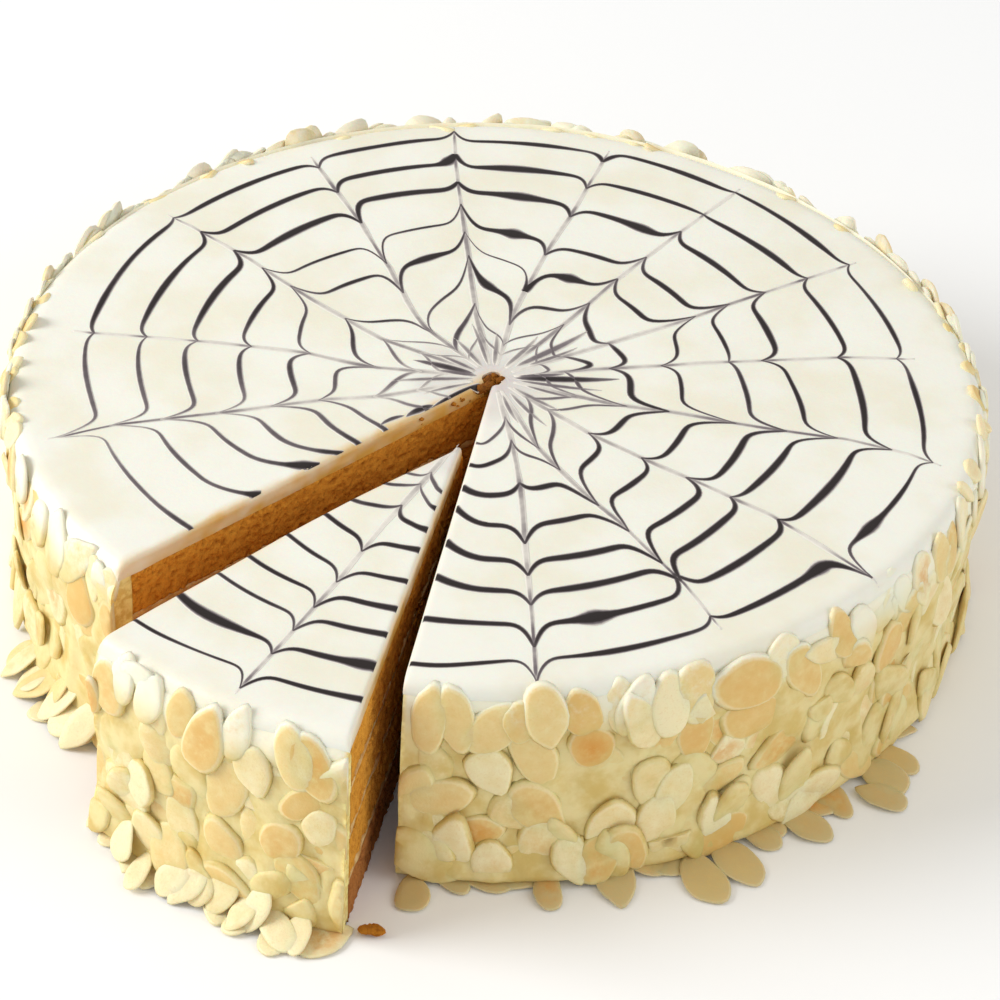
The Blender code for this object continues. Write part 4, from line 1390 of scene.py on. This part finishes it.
def trimmed(points, marks, wedge, way, sign):
    """A flake cut off flush where a cut of the torte passes through it, or None if nothing is left.

    The cut runs that way from the wedge's axis, and the sign says which side of it is cut off.
    """
    build = bmesh.new()
    layers = [build.verts.layers.float.new(label) for label in marks]
    corners = []
    for k, point in enumerate(points):
        vertex = build.verts.new(point)
        for layer, values in zip(layers, marks.values()):
            vertex[layer] = values[k]
        corners.append(vertex)
    for face in FLAKE_FACES:
        build.faces.new([corners[i] for i in face])
    centre = Vector((*wedge.axis, 0.0))
    normal = Vector((-math.sin(way), math.cos(way), 0.0)) * sign
    geometry = build.verts[:] + build.edges[:] + build.faces[:]
    plane = {"plane_co": centre, "plane_no": normal, "clear_outer": True, "dist": 1e-7}
    bmesh.ops.bisect_plane(build, geom=geometry, **plane)
    rim = [edge for edge in build.edges if edge.is_boundary]
    if rim:
        bmesh.ops.holes_fill(build, edges=rim)
    if not build.faces:
        build.free()
        return None
    build.verts.index_update()
    kept = np.array([vertex.co[:] for vertex in build.verts])
    faces = [tuple(vertex.index for vertex in face.verts) for face in build.faces]
    left = {label: np.array([vertex[layer] for vertex in build.verts]) for label, layer in zip(marks, layers)}
    build.free()
    return kept, faces, left


# Flakes nearer than this to a cut are trimmed
FLAKE_TRIM_REACH = 0.011

# How flakes lie at each place: ranges of the distance off the coat and of the tilt, largest yaw, and skirt
Lie = namedtuple("Lie", "stands tilts yaw skirt")
LOOSE = Lie((0.0002, 0.0013), (-0.22, 0.14), 0.22, 0.12)
PRESSED = Lie((-0.0009, 0.0005), (-0.09, 0.06), 0.09, 0.24)
AT_RIM = Lie((0.0, 0.0008), (0.06, 0.22), 0.10, 0.08)
OVER_RIM = Lie((-0.0020, 0.0), (0.4, 1.0), 0.2, 0.07)
AT_FOOT = Lie((-0.0004, 0.0008), (0.05, 0.30), 0.1, 0.10)

# How much the spin varies on the wall, at the rim, at the rim's far side besides, at the foot and in the
# fringe that leans out. Small pieces lie at any spin.
WALL_SPIN = 0.60
RIM_SPIN = 0.35
FAR_SPIN = 0.5
FOOT_SPIN = 0.8
FRINGE_SPIN = 0.45
ANY_SPIN = (0.0, 6.3)

# At the rim, how far flakes are moved up or down, how much higher they lie and how they tilt at the far side,
# and how much further off the coat they stand behind
RIM_SHIFTS = (-0.0020, 0.0016)
FAR_RISE = 0.0016
FAR_TILTS = (-0.10, 0.03)
BEHIND_STANDS = (0.0004, 0.0018)

# A small piece lies this far under the icing's top where it is that far off the coat, and it sinks by this
# share of its way outwards
BIT_DROP = 0.0016
BIT_STAND = -0.0008
BIT_SLOPE = 0.5

# The height of a flake at the foot. In the fringe, the tilts and the largest yaw, the height of the lower
# end, and how far up and out the middle is from it
FOOT_HEIGHT = 0.0058
FRINGE_TILTS = (0.40, 1.20)
FRINGE_YAW = 0.25
FRINGE_FOOT = 0.0010
FRINGE_RISE = 0.0058
FRINGE_REACH = 0.0042


# A manner gives a flake's height, distance off the coat, spin, tilt, yaw and skirt, in metres and radians


def wall_manner(draw, height, loose):
    """How a flake sits on the wall: mostly pressed flat into the cream, at any spin; a few stand off it."""
    spin = draw.gauss(0.0, WALL_SPIN)
    lie = LOOSE if draw.random() < loose else PRESSED
    stand = draw.uniform(*lie.stands)
    return height, stand, spin, draw.uniform(*lie.tilts), draw.uniform(-lie.yaw, lie.yaw), lie.skirt


def rim_manner(draw, almonds, far, behind):
    """A flake at the rim: it leans in over the icing's edge, and at the far side it shows above it."""
    lie = AT_RIM
    height = ICING_TOP - 0.5 * almonds.length + draw.uniform(*RIM_SHIFTS) + FAR_RISE * far
    stand = draw.uniform(*lie.stands) + behind * draw.uniform(*BEHIND_STANDS)
    tilt = draw.uniform(*lie.tilts) * (1.0 - far) + draw.uniform(*FAR_TILTS) * far
    spin = draw.gauss(0.0, RIM_SPIN + FAR_SPIN * far)
    return height, stand, spin, tilt, draw.uniform(-lie.yaw, lie.yaw), lie.skirt


def bit_manner(draw):
    """A small piece that lies over the icing's rounded rim."""
    lie = OVER_RIM
    stand = draw.uniform(*lie.stands)
    height = ICING_TOP - BIT_DROP + BIT_SLOPE * (BIT_STAND - stand)
    tilt = draw.uniform(*lie.tilts)
    return height, stand, draw.uniform(*ANY_SPIN), tilt, draw.uniform(-lie.yaw, lie.yaw), lie.skirt


def foot_manner(draw):
    """A flake that has slid down to the foot and leans on the coat."""
    lie = AT_FOOT
    stand = draw.uniform(*lie.stands)
    spin = draw.gauss(0.0, FOOT_SPIN)
    return FOOT_HEIGHT, stand, spin, draw.uniform(*lie.tilts), draw.uniform(-lie.yaw, lie.yaw), lie.skirt


def fringe_manner(draw):
    """A flake that leans out from the foot, its lower end on the floor."""
    tilt = draw.uniform(*FRINGE_TILTS)
    height = FRINGE_FOOT + FRINGE_RISE * math.cos(tilt)
    stand = FRINGE_REACH * math.sin(tilt)
    return height, stand, draw.gauss(0.0, FRINGE_SPIN), tilt, draw.uniform(-FRINGE_YAW, FRINGE_YAW), 0.0


# The flakes on the floor: direction in degrees, radius of the outer end in millimetres, and turn in degrees
# from pointing straight outwards
FLOOR_FLAKES = {
    TORTE: (
        (203.0, 130.0, 5), (207.8, 134.5, -12), (212.4, 135.4, -18), (215.0, 131.0, 40), (217.7, 132.0, 12),
        (263.7, 136.6, 6), (267.2, 128.5, 30), (271.8, 127.0, 76), (274.0, 128.0, 66), (278.4, 133.8, -2),
        (283.8, 128.5, 30), (286.2, 132.8, -8), (290.4, 130.5, 48), (292.6, 131.4, 64), (295.4, 139.4, 3),
        (299.9, 139.0, 9), (304.4, 133.6, 24), (307.0, 131.0, -30), (309.8, 136.4, 14), (312.4, 132.0, 50),
        (315.0, 134.0, -8), (319.4, 142.6, 20), (322.0, 137.5, -6), (325.0, 135.0, 8), (329.5, 131.0, 36),
    ),
    SLICE: (
        (225.4, 130.5, 38), (228.2, 128.0, -20), (231.6, 130.8, 16), (235.2, 131.6, 2), (238.0, 128.6, -34),
        (240.6, 130.6, 54), (244.0, 131.4, 18), (247.5, 134.6, -12), (249.8, 130.0, 62), (252.2, 135.8, -16),
        (255.0, 131.0, 20), (256.6, 134.4, -46),
    ),
}

# How they lie: height, the height at which the coat is measured, tilt and largest yaw
FLOOR_HEIGHT = 0.0008
FLOOR_LEVEL = 0.001
FLOOR_TILT = 1.50
FLOOR_YAW = 0.06

# The flakes that catch the eye: direction in degrees, height in millimetres, spin in degrees, length and
# width in millimetres, warmth and toasting
MARKED_FLAKES = {
    TORTE: (
        (302, 51, 75, 19, 13.5, 0.9, 0.15), (303, 39.5, 70, 18, 13, 0.9, 0.1),
        (292, 50.5, 0, 17, 9.5, -0.3, 0.0), (283, 41.5, 18, 13, 10.5, 1.1, 1.0),
        (277.5, 53, 10, 16.5, 9.5, 0.5, 0.1), (276.5, 39.5, 23, 19, 9.5, 0.6, 0.1),
        (271.5, 48, -36, 15.5, 10.5, 0.5, 0.15), (295.5, 39, 0, 17, 9, 0.9, 0.3),
        (270.5, 16, 100, 11.5, 9.5, 0.8, 0.9), (277, 23, 33, 18.5, 11, 0.8, 0.3),
        (285.5, 15, -18, 16.5, 11, 0.3, 0.0), (291, 14.5, -7, 19, 10, 0.3, 0.0),
        (293, 24, -14, 15, 9, 0.3, 0.0), (324, 38, -23, 13.5, 9, 0.9, 0.2),
        (309.5, 48, 26, 17.5, 9, 0.8, 0.2), (264.5, 50, -3, 18, 8, 0.6, 0.1),
        (267.5, 50.5, 13, 17, 8.5, 0.6, 0.1), (266, 26.5, 107, 15, 11, 0.6, 0.2),
        (271.5, 35.5, 22, 13.5, 10, 0.2, 0.0),
    ),
    SLICE: (
        (241.5, 49, -12, 18, 10, 0.8, 0.45), (244, 35.5, -12, 19, 10.5, 0.6, 0.15),
        (252.5, 51.5, 17, 17, 9.5, 0.5, 0.1), (254.5, 50.5, 25, 17.5, 10, 0.9, 0.6),
        (227.5, 48.5, 12, 14, 10, 0.7, 0.3), (238.5, 19, 14, 17.5, 9, 0.4, 0.1),
        (244, 18.5, 28, 14.5, 9, 0.6, 0.2), (251, 24.5, -6, 13.5, 10, 0.8, 0.25),
        (234, 11, 50, 12, 9, 0.3, 0.0), (255.5, 32.5, -10, 11, 8, 0.3, 0.0), (247.5, 45, 13, 13, 9, 0.3, 0.0),
    ),
}

# They lean in from this height on, fully so over that distance, stand this far off the coat, and further
# where they lean, and other flakes are left out that near to them
MARKED_LEAN = 0.14
LEAN_FROM = 0.042
LEAN_REACH = 0.008
MARKED_STAND = 0.0006
LEAN_STAND = 0.003
MARKED_SKIRT = 0.16
MARKED_CLEARANCE = 0.0058

# The radius on which flakes are spaced, and on the wall the lowest and highest row, how far flakes are moved
# from theirs, and the share of loose ones in front and how much more at the sides
SCATTER_RADIUS = 0.12
LOWEST_ROW = 0.0085
HIGHEST_ROW = ICING_TOP - 0.0140
ROW_SPREAD = 0.0048
LOOSE_SHARE = 0.20
LOOSE_AT_SIDES = 0.36

# Small pieces lie on the rim where the sine of the direction is above the first value, fewer above the second
BITS_FROM = -0.30
FEW_BITS_FROM = 0.25
FEW_BITS = 0.35

# Flakes lean out all along the foot between these directions in degrees, away from the cuts by that angle
FRINGE = (203.0, 258.0)
FRINGE_MARGIN = 0.050

# Lengths, widths and warmth of the small pieces and of the flakes that lean out
BIT_LOOKS = ((0.0050, 0.0100), (0.0035, 0.0065), (-0.4, 0.8))
FRINGE_LOOKS = ((0.0100, 0.0145), (0.0062, 0.0088), (-0.5, 0.6))

# From this direction on, in degrees, free flakes lie in the torte's shade, and their colour gets painted
# shade; before it they get painted light, a paler tone
FLOOR_SHADE_FROM = 262.0
SHADED_TONE = 2.0
SUNLIT_TONE = -0.4

# How much of the coat's lumps a flake follows, and how far every flake stays above the floor
LUMP_SHARE = 0.75
FLOOR_GAP = 0.0004


def spread_out(wedge, spacing, draw, jitter, shift=0.0):
    """Angles that far apart round a wedge, each moved at random by up to the jitter."""
    count = round(wedge.sweep * SCATTER_RADIUS / spacing)
    for k in range(count):
        yield wedge.sweep * (k + 0.5 + shift + draw.uniform(-jitter, jitter)) / count


def strewn(wedge, spacing, draw):
    """Angles at random, one in each stretch of that length round a wedge."""
    for k in range(round(wedge.sweep * SCATTER_RADIUS / spacing)):
        yield (k + draw.random()) * spacing / SCATTER_RADIUS


def own_looks(draw, lengths, widths, tones):
    """A flake's own size, warmth and toasting."""
    return (draw.uniform(*lengths), draw.uniform(*widths)), draw.uniform(*tones), draw.uniform(0.0, 0.3)


def marked_sites(wedge):
    """The sites of the flakes that catch the eye."""
    sites = []
    for way, high, turned, long, wide, tone, toast in MARKED_FLAKES[wedge]:
        lean = MARKED_LEAN * min(max((MM * high - LEAN_FROM) / LEAN_REACH, 0.0), 1.0)
        stand = MARKED_STAND + LEAN_STAND * lean
        own = (MM * long, MM * wide), tone, toast
        spin = math.radians(turned)
        sites.append(Site(wedge.angle_at(way), MM * high, stand, spin, lean, 0.0, MARKED_SKIRT, own))
    return sites


def clear_of(site, marked):
    """Whether a flake is far enough from all those that catch the eye."""
    return all(
        math.hypot((site.angle - near.angle) * COAT_TOP_RADIUS, 0.8 * (site.height - near.height))
        > MARKED_CLEARANCE
        for near in marked
    )


def flake_sites(wedge, almonds, draw):
    """The sites of all the flakes of one wedge, from the wall to the floor."""
    sites = []
    for row in range(almonds.rows):
        level = LOWEST_ROW + (HIGHEST_ROW - LOWEST_ROW) * row / (almonds.rows - 1)
        for angle in spread_out(wedge, almonds.spacing, draw, 0.5, 0.25 * (-1) ** row):
            loose = LOOSE_SHARE + LOOSE_AT_SIDES * abs(math.cos(wedge.first + angle)) ** 4
            manner = wall_manner(draw, level + draw.uniform(-ROW_SPREAD, ROW_SPREAD), loose)
            sites.append(Site(angle, *manner, None))
    for angle in spread_out(wedge, almonds.rim_spacing, draw, 0.4):
        behind = max(math.sin(wedge.first + angle), 0.0)
        far = min(max(math.sin(wedge.first + angle) + 0.45, 0.0), 1.0)
        for _ in range(2 if far > 0.3 else 1):
            moved = angle + draw.uniform(-0.03, 0.03) * far
            sites.append(Site(moved, *rim_manner(draw, almonds, far, behind), None))
    for angle in spread_out(wedge, almonds.foot_spacing, draw, 0.4):
        sites.append(Site(angle, *foot_manner(draw), None))
    for angle in strewn(wedge, almonds.bit_spacing, draw):
        own = own_looks(draw, *BIT_LOOKS)
        lonely = draw.random() > FEW_BITS
        behind = math.sin(wedge.first + angle)
        if behind > BITS_FROM and not (behind > FEW_BITS_FROM and lonely):
            sites.append(Site(angle, *bit_manner(draw), own))
    for angle in strewn(wedge, almonds.fringe_spacing, draw):
        own = own_looks(draw, *FRINGE_LOOKS)
        within = FRINGE_MARGIN < angle < wedge.sweep - FRINGE_MARGIN
        if FRINGE[0] < wedge.way_at(angle) < FRINGE[1] and within:
            sites.append(Site(angle, *fringe_manner(draw), own))
    marked = marked_sites(wedge)
    sites = [site for site in sites if clear_of(site, marked)] + marked
    for way, end, turned in FLOOR_FLAKES[wedge]:
        angle = wedge.angle_at(way)
        spin = math.radians(turned)
        reach = MM * end - 0.5 * almonds.length * abs(math.cos(spin))
        reach -= 0.5 * almonds.width * abs(math.sin(spin))
        stand = reach - float(coat_radius(wedge, angle, FLOOR_LEVEL))
        yaw = draw.uniform(-FLOOR_YAW, FLOOR_YAW)
        sites.append(Site(angle, FLOOR_HEIGHT, stand, spin, FLOOR_TILT, yaw, 0.0, None))
    return sites


def make_flakes(wedge, almonds, coat, material, seed):
    """All the flakes of one wedge as one piece, those on the wall cut off flush at the cuts."""
    draw = random.Random(seed)
    heap = Heap()
    for site in flake_sites(wedge, almonds, draw):
        angle = site.angle
        free = site.skirt == 0
        flat, core, veil = flake_shape(almonds, draw, site.skirt, site.own and site.own[0])
        reach = float(coat_radius(wedge, angle, site.height)) + site.stand
        if not free:
            spot = in_space(wedge.place([reach], [angle]), site.height)
            reach += LUMP_SHARE * float(coat_lumps(coat, spot)[0])
        place = flake_frame(wedge, site, reach, math.pi * draw.randrange(2))
        world = flat @ np.array(place.to_3x3()).T + np.array(place.translation)
        world[:, 2] += max(0.0, FLOOR_GAP - world[:, 2].min())
        tone = draw.random()
        # Free flakes get painted shade past FLOOR_SHADE_FROM and painted light, a paler tone, before it
        if free:
            tone = 0.5 * tone + (SHADED_TONE if wedge.way_at(angle) > FLOOR_SHADE_FROM else SUNLIT_TONE)
        toast = draw.uniform(0.5, 1.0) if draw.random() < almonds.toasted else draw.uniform(0.0, 0.25)
        cover = 0.55 * draw.random() if draw.random() > almonds.covered else draw.uniform(0.75, 1.1)
        if site.own:
            _, tone, toast = site.own
        if site.own or free:
            cover = 0.0
        whole = np.ones(len(world))
        marks = {"tone": tone * whole, "toast": toast * whole, "core": core, "veil": veil + cover}
        marks["high"] = rim_share(world)
        part = world, FLAKE_FACES, marks
        if min(abs(angle), abs(wedge.sweep - angle)) * COAT_TOP_RADIUS < FLAKE_TRIM_REACH and not free:
            nearer = (wedge.first, -1.0) if angle < wedge.sweep / 2 else (wedge.last, 1.0)
            part = trimmed(world, marks, wedge, *nearer)
        if part:
            points, faces, marks = part
            heap.add(points, faces, **marks)
    return heap.piece(wedge.node("almond_flakes"), material, "almond")


# The crumbs: where the three at the slice's foot lie, and the seeds of their places and shapes
FOOT_CRUMB = SLICE.place(0.1205, SLICE.sweep + 0.040)
FOOT_CRUMB_SHIFTS = (0.0, 0.0016, 0.0030)
CRUMB_PLACE_SEED = 77
CRUMB_SHAPE_SEED = 31

# How many crumbs lie where the cuts meet, and how far along the torte's last cut and to each side of it
POINT_CRUMBS = 70
POINT_CRUMBS_ALONG = (-0.0024, 0.0050)
POINT_CRUMBS_ASIDE = 0.0018

# How many crumbs stick to the cut icing, and over which length of the cut
CUT_CRUMBS = 8
CUT_CRUMBS_FROM = 0.006
CUT_CRUMBS_REACH = 0.028


def crumb_spots():
    """Places, sizes and darkness of the crumbs at the slice's foot, where the cuts meet and on cut icing."""
    draw = random.Random(CRUMB_PLACE_SEED)
    spots = []
    for shift in FOOT_CRUMB_SHIFTS:
        spots.append(((FOOT_CRUMB[0] + shift, FOOT_CRUMB[1] + 0.0003, 0.0016), 0.0040, 0.2))
    way = TORTE.last
    for _ in range(POINT_CRUMBS):
        across = draw.uniform(-1.0, 1.0)
        along = draw.uniform(*POINT_CRUMBS_ALONG)
        aside = POINT_CRUMBS_ASIDE * across * (1.0 - 0.5 * abs(along) / POINT_CRUMBS_ALONG[1])
        x = AXIS[0] + along * math.cos(way) + aside * math.sin(way)
        y = AXIS[1] + along * math.sin(way) - aside * math.cos(way)
        rise = draw.uniform(0.0002, 0.0014) + 0.0012 * (1.0 - abs(across))
        spots.append(((x, y, ICING_TOP - rise), draw.uniform(0.0012, 0.0024), draw.uniform(0.7, 1.0)))
    for _ in range(CUT_CRUMBS):
        reach = CUT_CRUMBS_FROM + CUT_CRUMBS_REACH * draw.random() ** 1.7
        inside = draw.uniform(-0.0005, 0.0003)
        x, y = TORTE.place(reach, TORTE.sweep - inside / reach)
        sink = ICING_TOP - draw.uniform(0.0008, 0.0036)
        spots.append(((x, y, sink), draw.uniform(0.0006, 0.0013), draw.uniform(0.2, 0.9)))
    return spots


def crumb_lump(draw, size):
    """A rough lump of crumb of about that size, as points and faces."""
    build = bmesh.new()
    bmesh.ops.create_icosphere(build, subdivisions=2, radius=size / 2)
    stretch = draw.uniform(0.7, 1.4), draw.uniform(0.7, 1.2), draw.uniform(0.5, 0.8)
    offset = draw.uniform(0.0, 1.0)
    points = np.array([vertex.co[:] for vertex in build.verts])
    faces = [tuple(vertex.index for vertex in face.verts) for face in build.faces]
    build.free()
    swell = 1.0 + 0.30 * soft_noise(points + offset, size * 0.5, 61)
    swell = swell + 0.18 * soft_noise(points + offset, size * 0.2, 62)
    return points * swell[:, None] * np.array(Vector(stretch)), faces


def make_crumbs(material):
    """Crumbs where the knife left them, as one piece."""
    draw = random.Random(CRUMB_SHAPE_SEED)
    heap = Heap()
    for spot, size, dark in crumb_spots():
        lump, faces = crumb_lump(draw, size)
        turn = np.array(Matrix.Rotation(draw.uniform(0, 6.28), 3, "Z"))
        heap.add(lump @ turn.T + np.array(spot), faces, pore=np.full(len(lump), dark))
    return heap.piece("sponge_crumbs", material, "sponge")


# The stage: the lamps' widths and places from the middle of the torte, the floor's half width, and the
# camera's distance in front of the axis, height over the icing and turns in degrees
LAMP_TARGET_HEIGHT = 0.03
KEY_LAMP = (1.1, (-1.64, -0.12, 0.98))
FILL_LAMP = (1.2, (1.5, -0.45, 0.85))
FLOOR_HALF_WIDTH = 4.0
CAMERA_DISTANCE = 0.7856
CAMERA_HEIGHT = 0.5980
CAMERA_TURNS = (50.879, -2.016, 1.408)


def make_lamp(scene, name, power, size, shift):
    """A round lamp that shines at the middle of the torte."""
    lamp = bpy.data.lights.new(name, "AREA")
    lamp.shape = "DISK"
    lamp.size = size
    lamp.energy = power
    thing = bpy.data.objects.new(name, lamp)
    target = Vector((*AXIS, LAMP_TARGET_HEIGHT))
    thing.location = target + Vector(shift)
    thing.rotation_euler = (target - thing.location).to_track_quat("-Z", "Y").to_euler()
    scene.collection.objects.link(thing)


def make_floor(scene, rgb):
    """A wide pale floor, a little mottled."""
    material, recipe, shader = new_material("pale floor")
    paler = tuple(min(1.0, part * 1.03) for part in rgb)
    mottled = recipe.mix(recipe.noise(recipe.place(), 3.0), opaque(rgb), opaque(paler))
    recipe.tree.links.new(mottled, shader.inputs["Base Color"])
    shader.inputs["Roughness"].default_value = 0.8
    build = bmesh.new()
    bmesh.ops.create_grid(build, x_segments=8, y_segments=8, size=FLOOR_HALF_WIDTH)
    mesh = bpy.data.meshes.new("floor")
    build.to_mesh(mesh)
    build.free()
    mesh.materials.append(material)
    floor = bpy.data.objects.new("floor", mesh)
    scene.collection.objects.link(floor)
    floor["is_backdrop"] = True


def make_camera(scene, focal):
    """The camera in front of the torte, with that focal length in millimetres."""
    lens = bpy.data.cameras.new("camera")
    lens.lens = focal
    lens.sensor_width = 36.0
    lens.clip_start = 0.05
    lens.clip_end = 20.0
    camera = bpy.data.objects.new("camera", lens)
    camera.location = (AXIS[0], AXIS[1] - CAMERA_DISTANCE, ICING_TOP + CAMERA_HEIGHT)
    camera.rotation_euler = [math.radians(turn) for turn in CAMERA_TURNS]
    scene.collection.objects.link(camera)
    scene.camera = camera


# Operators


class TORTE_OT_set_stage(bpy.types.Operator):
    """Sets the floor, the lamps and the camera of a plain pale studio"""

    bl_idname = "torte.set_stage"
    bl_label = "Set stage"

    def execute(self, context):
        scene = context.scene
        stage = scene.torte_stage
        scene.view_settings.view_transform = "Standard"
        scene.world = bpy.data.worlds.new("studio")
        scene.world.use_nodes = True
        sky = scene.world.node_tree.nodes["Background"].inputs
        sky["Color"].default_value = WHITE
        sky["Strength"].default_value = stage.sky
        make_floor(scene, stage.floor)
        make_lamp(scene, "key", stage.key, *KEY_LAMP)
        make_lamp(scene, "fill", stage.fill, *FILL_LAMP)
        make_camera(scene, stage.lens)
        return {"FINISHED"}


class TORTE_OT_ice_top(bpy.types.Operator):
    """Spreads the white icing on the torte and on the slice"""

    bl_idname = "torte.ice_top"
    bl_label = "Ice the top"

    def execute(self, context):
        icing = context.scene.torte_icing
        looks = icing.white, icing.warm, icing.roughness, ICING_PATCH_SCALE, icing.edge, icing.smear
        material = cream_material("satin icing", *looks)
        for wedge in WEDGES:
            make_iced_top(wedge, icing, material)
        return {"FINISHED"}


class TORTE_OT_draw_web(bpy.types.Operator):
    """Draws the feathered web into the icing"""

    bl_idname = "torte.draw_web"
    bl_label = "Draw the web"

    def execute(self, context):
        icing = context.scene.torte_icing
        web = context.scene.torte_web
        material = web_material(web)
        for wedge in WEDGES:
            make_web(wedge, icing, web, material)
        return {"FINISHED"}


class TORTE_OT_cut_sponge(bpy.types.Operator):
    """Makes the sponge layers with their crumb at the cuts"""

    bl_idname = "torte.cut_sponge"
    bl_label = "Cut the sponge"

    def execute(self, context):
        sponge = context.scene.torte_sponge
        crumb = crumb_material("golden crumb", sponge.gold, sponge.brown, sponge.umber, sponge.roughness)
        tones = sponge.base_gold, sponge.base_brown, sponge.base_umber
        base = crumb_material("base crumb", *tones, sponge.roughness)
        relief = sponge_relief(sponge)
        for wedge in WEDGES:
            for k in range(1, SPONGE_COUNT + 1):
                looks, slot = (base, "base_sponge") if k == 1 else (crumb, "sponge")
                make_cut_layer(wedge, "sponge_%d" % k, looks, slot, relief, sponge.pitch, sponge.overlap)
        return {"FINISHED"}


class TORTE_OT_spread_filling(bpy.types.Operator):
    """Spreads the cream between the sponges"""

    bl_idname = "torte.spread_filling"
    bl_label = "Spread the filling"

    def execute(self, context):
        sponge = context.scene.torte_sponge
        tones = sponge.filling, sponge.filling_shade
        material = cream_material("filling cream", *tones, 0.55, FILLING_PATCH_SCALE)
        relief = filling_relief(sponge)
        for wedge in WEDGES:
            for k in range(1, FILLING_COUNT + 1):
                make_cut_layer(wedge, "filling_%d" % k, material, "filling", relief, 0.8 * sponge.pitch, 0.0)
        return {"FINISHED"}


class TORTE_OT_spread_coat(bpy.types.Operator):
    """Spreads the cream coat round the side"""

    bl_idname = "torte.spread_coat"
    bl_label = "Spread the coat"

    def execute(self, context):
        coat = context.scene.torte_coat
        looks = coat.white, coat.warm, 0.5, COAT_PATCH_SCALE, coat.rim, coat.cut, coat.cut_dark
        material = cream_material("coat cream", *looks, COAT_BUMP)
        for wedge in WEDGES:
            make_coat(wedge, coat, material)
        return {"FINISHED"}


class TORTE_OT_scatter_flakes(bpy.types.Operator):
    """Presses the flaked almonds into the coat"""

    bl_idname = "torte.scatter_flakes"
    bl_label = "Scatter the flakes"

    def execute(self, context):
        almonds = context.scene.torte_almonds
        coat = context.scene.torte_coat
        material = almond_material(almonds, coat)
        for k, wedge in enumerate(WEDGES):
            make_flakes(wedge, almonds, coat, material, almonds.seed + k)
        return {"FINISHED"}


class TORTE_OT_drop_crumbs(bpy.types.Operator):
    """Drops the crumbs that the knife left"""

    bl_idname = "torte.drop_crumbs"
    bl_label = "Drop the crumbs"

    def execute(self, context):
        sponge = context.scene.torte_sponge
        tones = sponge.brown, sponge.umber, sponge.base_umber
        make_crumbs(crumb_material("loose crumb", *tones, sponge.roughness))
        return {"FINISHED"}


class TORTE_PT_panel(bpy.types.Panel):
    """Lists the steps of making the torte, with their settings"""

    bl_label = "Almond torte"
    bl_idname = "TORTE_PT_panel"
    bl_space_type = "VIEW_3D"
    bl_region_type = "UI"
    bl_category = "Torte"

    def draw(self, context):
        for name, operators in STEPS:
            box = self.layout.box()
            settings = getattr(context.scene, name)
            for key in settings.__class__.__annotations__:
                box.prop(settings, key)
            for operator in operators:
                box.operator(operator.bl_idname)


GROUPS = {
    "torte_stage": TORTE_PG_stage,
    "torte_icing": TORTE_PG_icing,
    "torte_web": TORTE_PG_web,
    "torte_sponge": TORTE_PG_sponge,
    "torte_coat": TORTE_PG_coat,
    "torte_almonds": TORTE_PG_almonds,
}
STEPS = (
    ("torte_stage", (TORTE_OT_set_stage,)),
    ("torte_icing", (TORTE_OT_ice_top,)),
    ("torte_web", (TORTE_OT_draw_web,)),
    ("torte_sponge", (TORTE_OT_cut_sponge, TORTE_OT_spread_filling, TORTE_OT_drop_crumbs)),
    ("torte_coat", (TORTE_OT_spread_coat,)),
    ("torte_almonds", (TORTE_OT_scatter_flakes,)),
)


OPERATORS = [operator for _, operators in STEPS for operator in operators]
CLASSES = (*GROUPS.values(), *OPERATORS, TORTE_PT_panel)


def register():
    for kind in CLASSES:
        bpy.utils.register_class(kind)
    for name, group in GROUPS.items():
        setattr(bpy.types.Scene, name, bpy.props.PointerProperty(type=group))


def unregister():
    for name in GROUPS:
        delattr(bpy.types.Scene, name)
    for kind in reversed(CLASSES):
        bpy.utils.unregister_class(kind)


def main():
    register()
    for operator in OPERATORS:
        space, name = operator.bl_idname.split(".")
        getattr(getattr(bpy.ops, space), name)()
    boxes = {"cad": CAD_BOX, "visual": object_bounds()}
    {name: [list(corner) for corner in box] for name, box in boxes.items()}


if __name__ == "__main__":
    main()
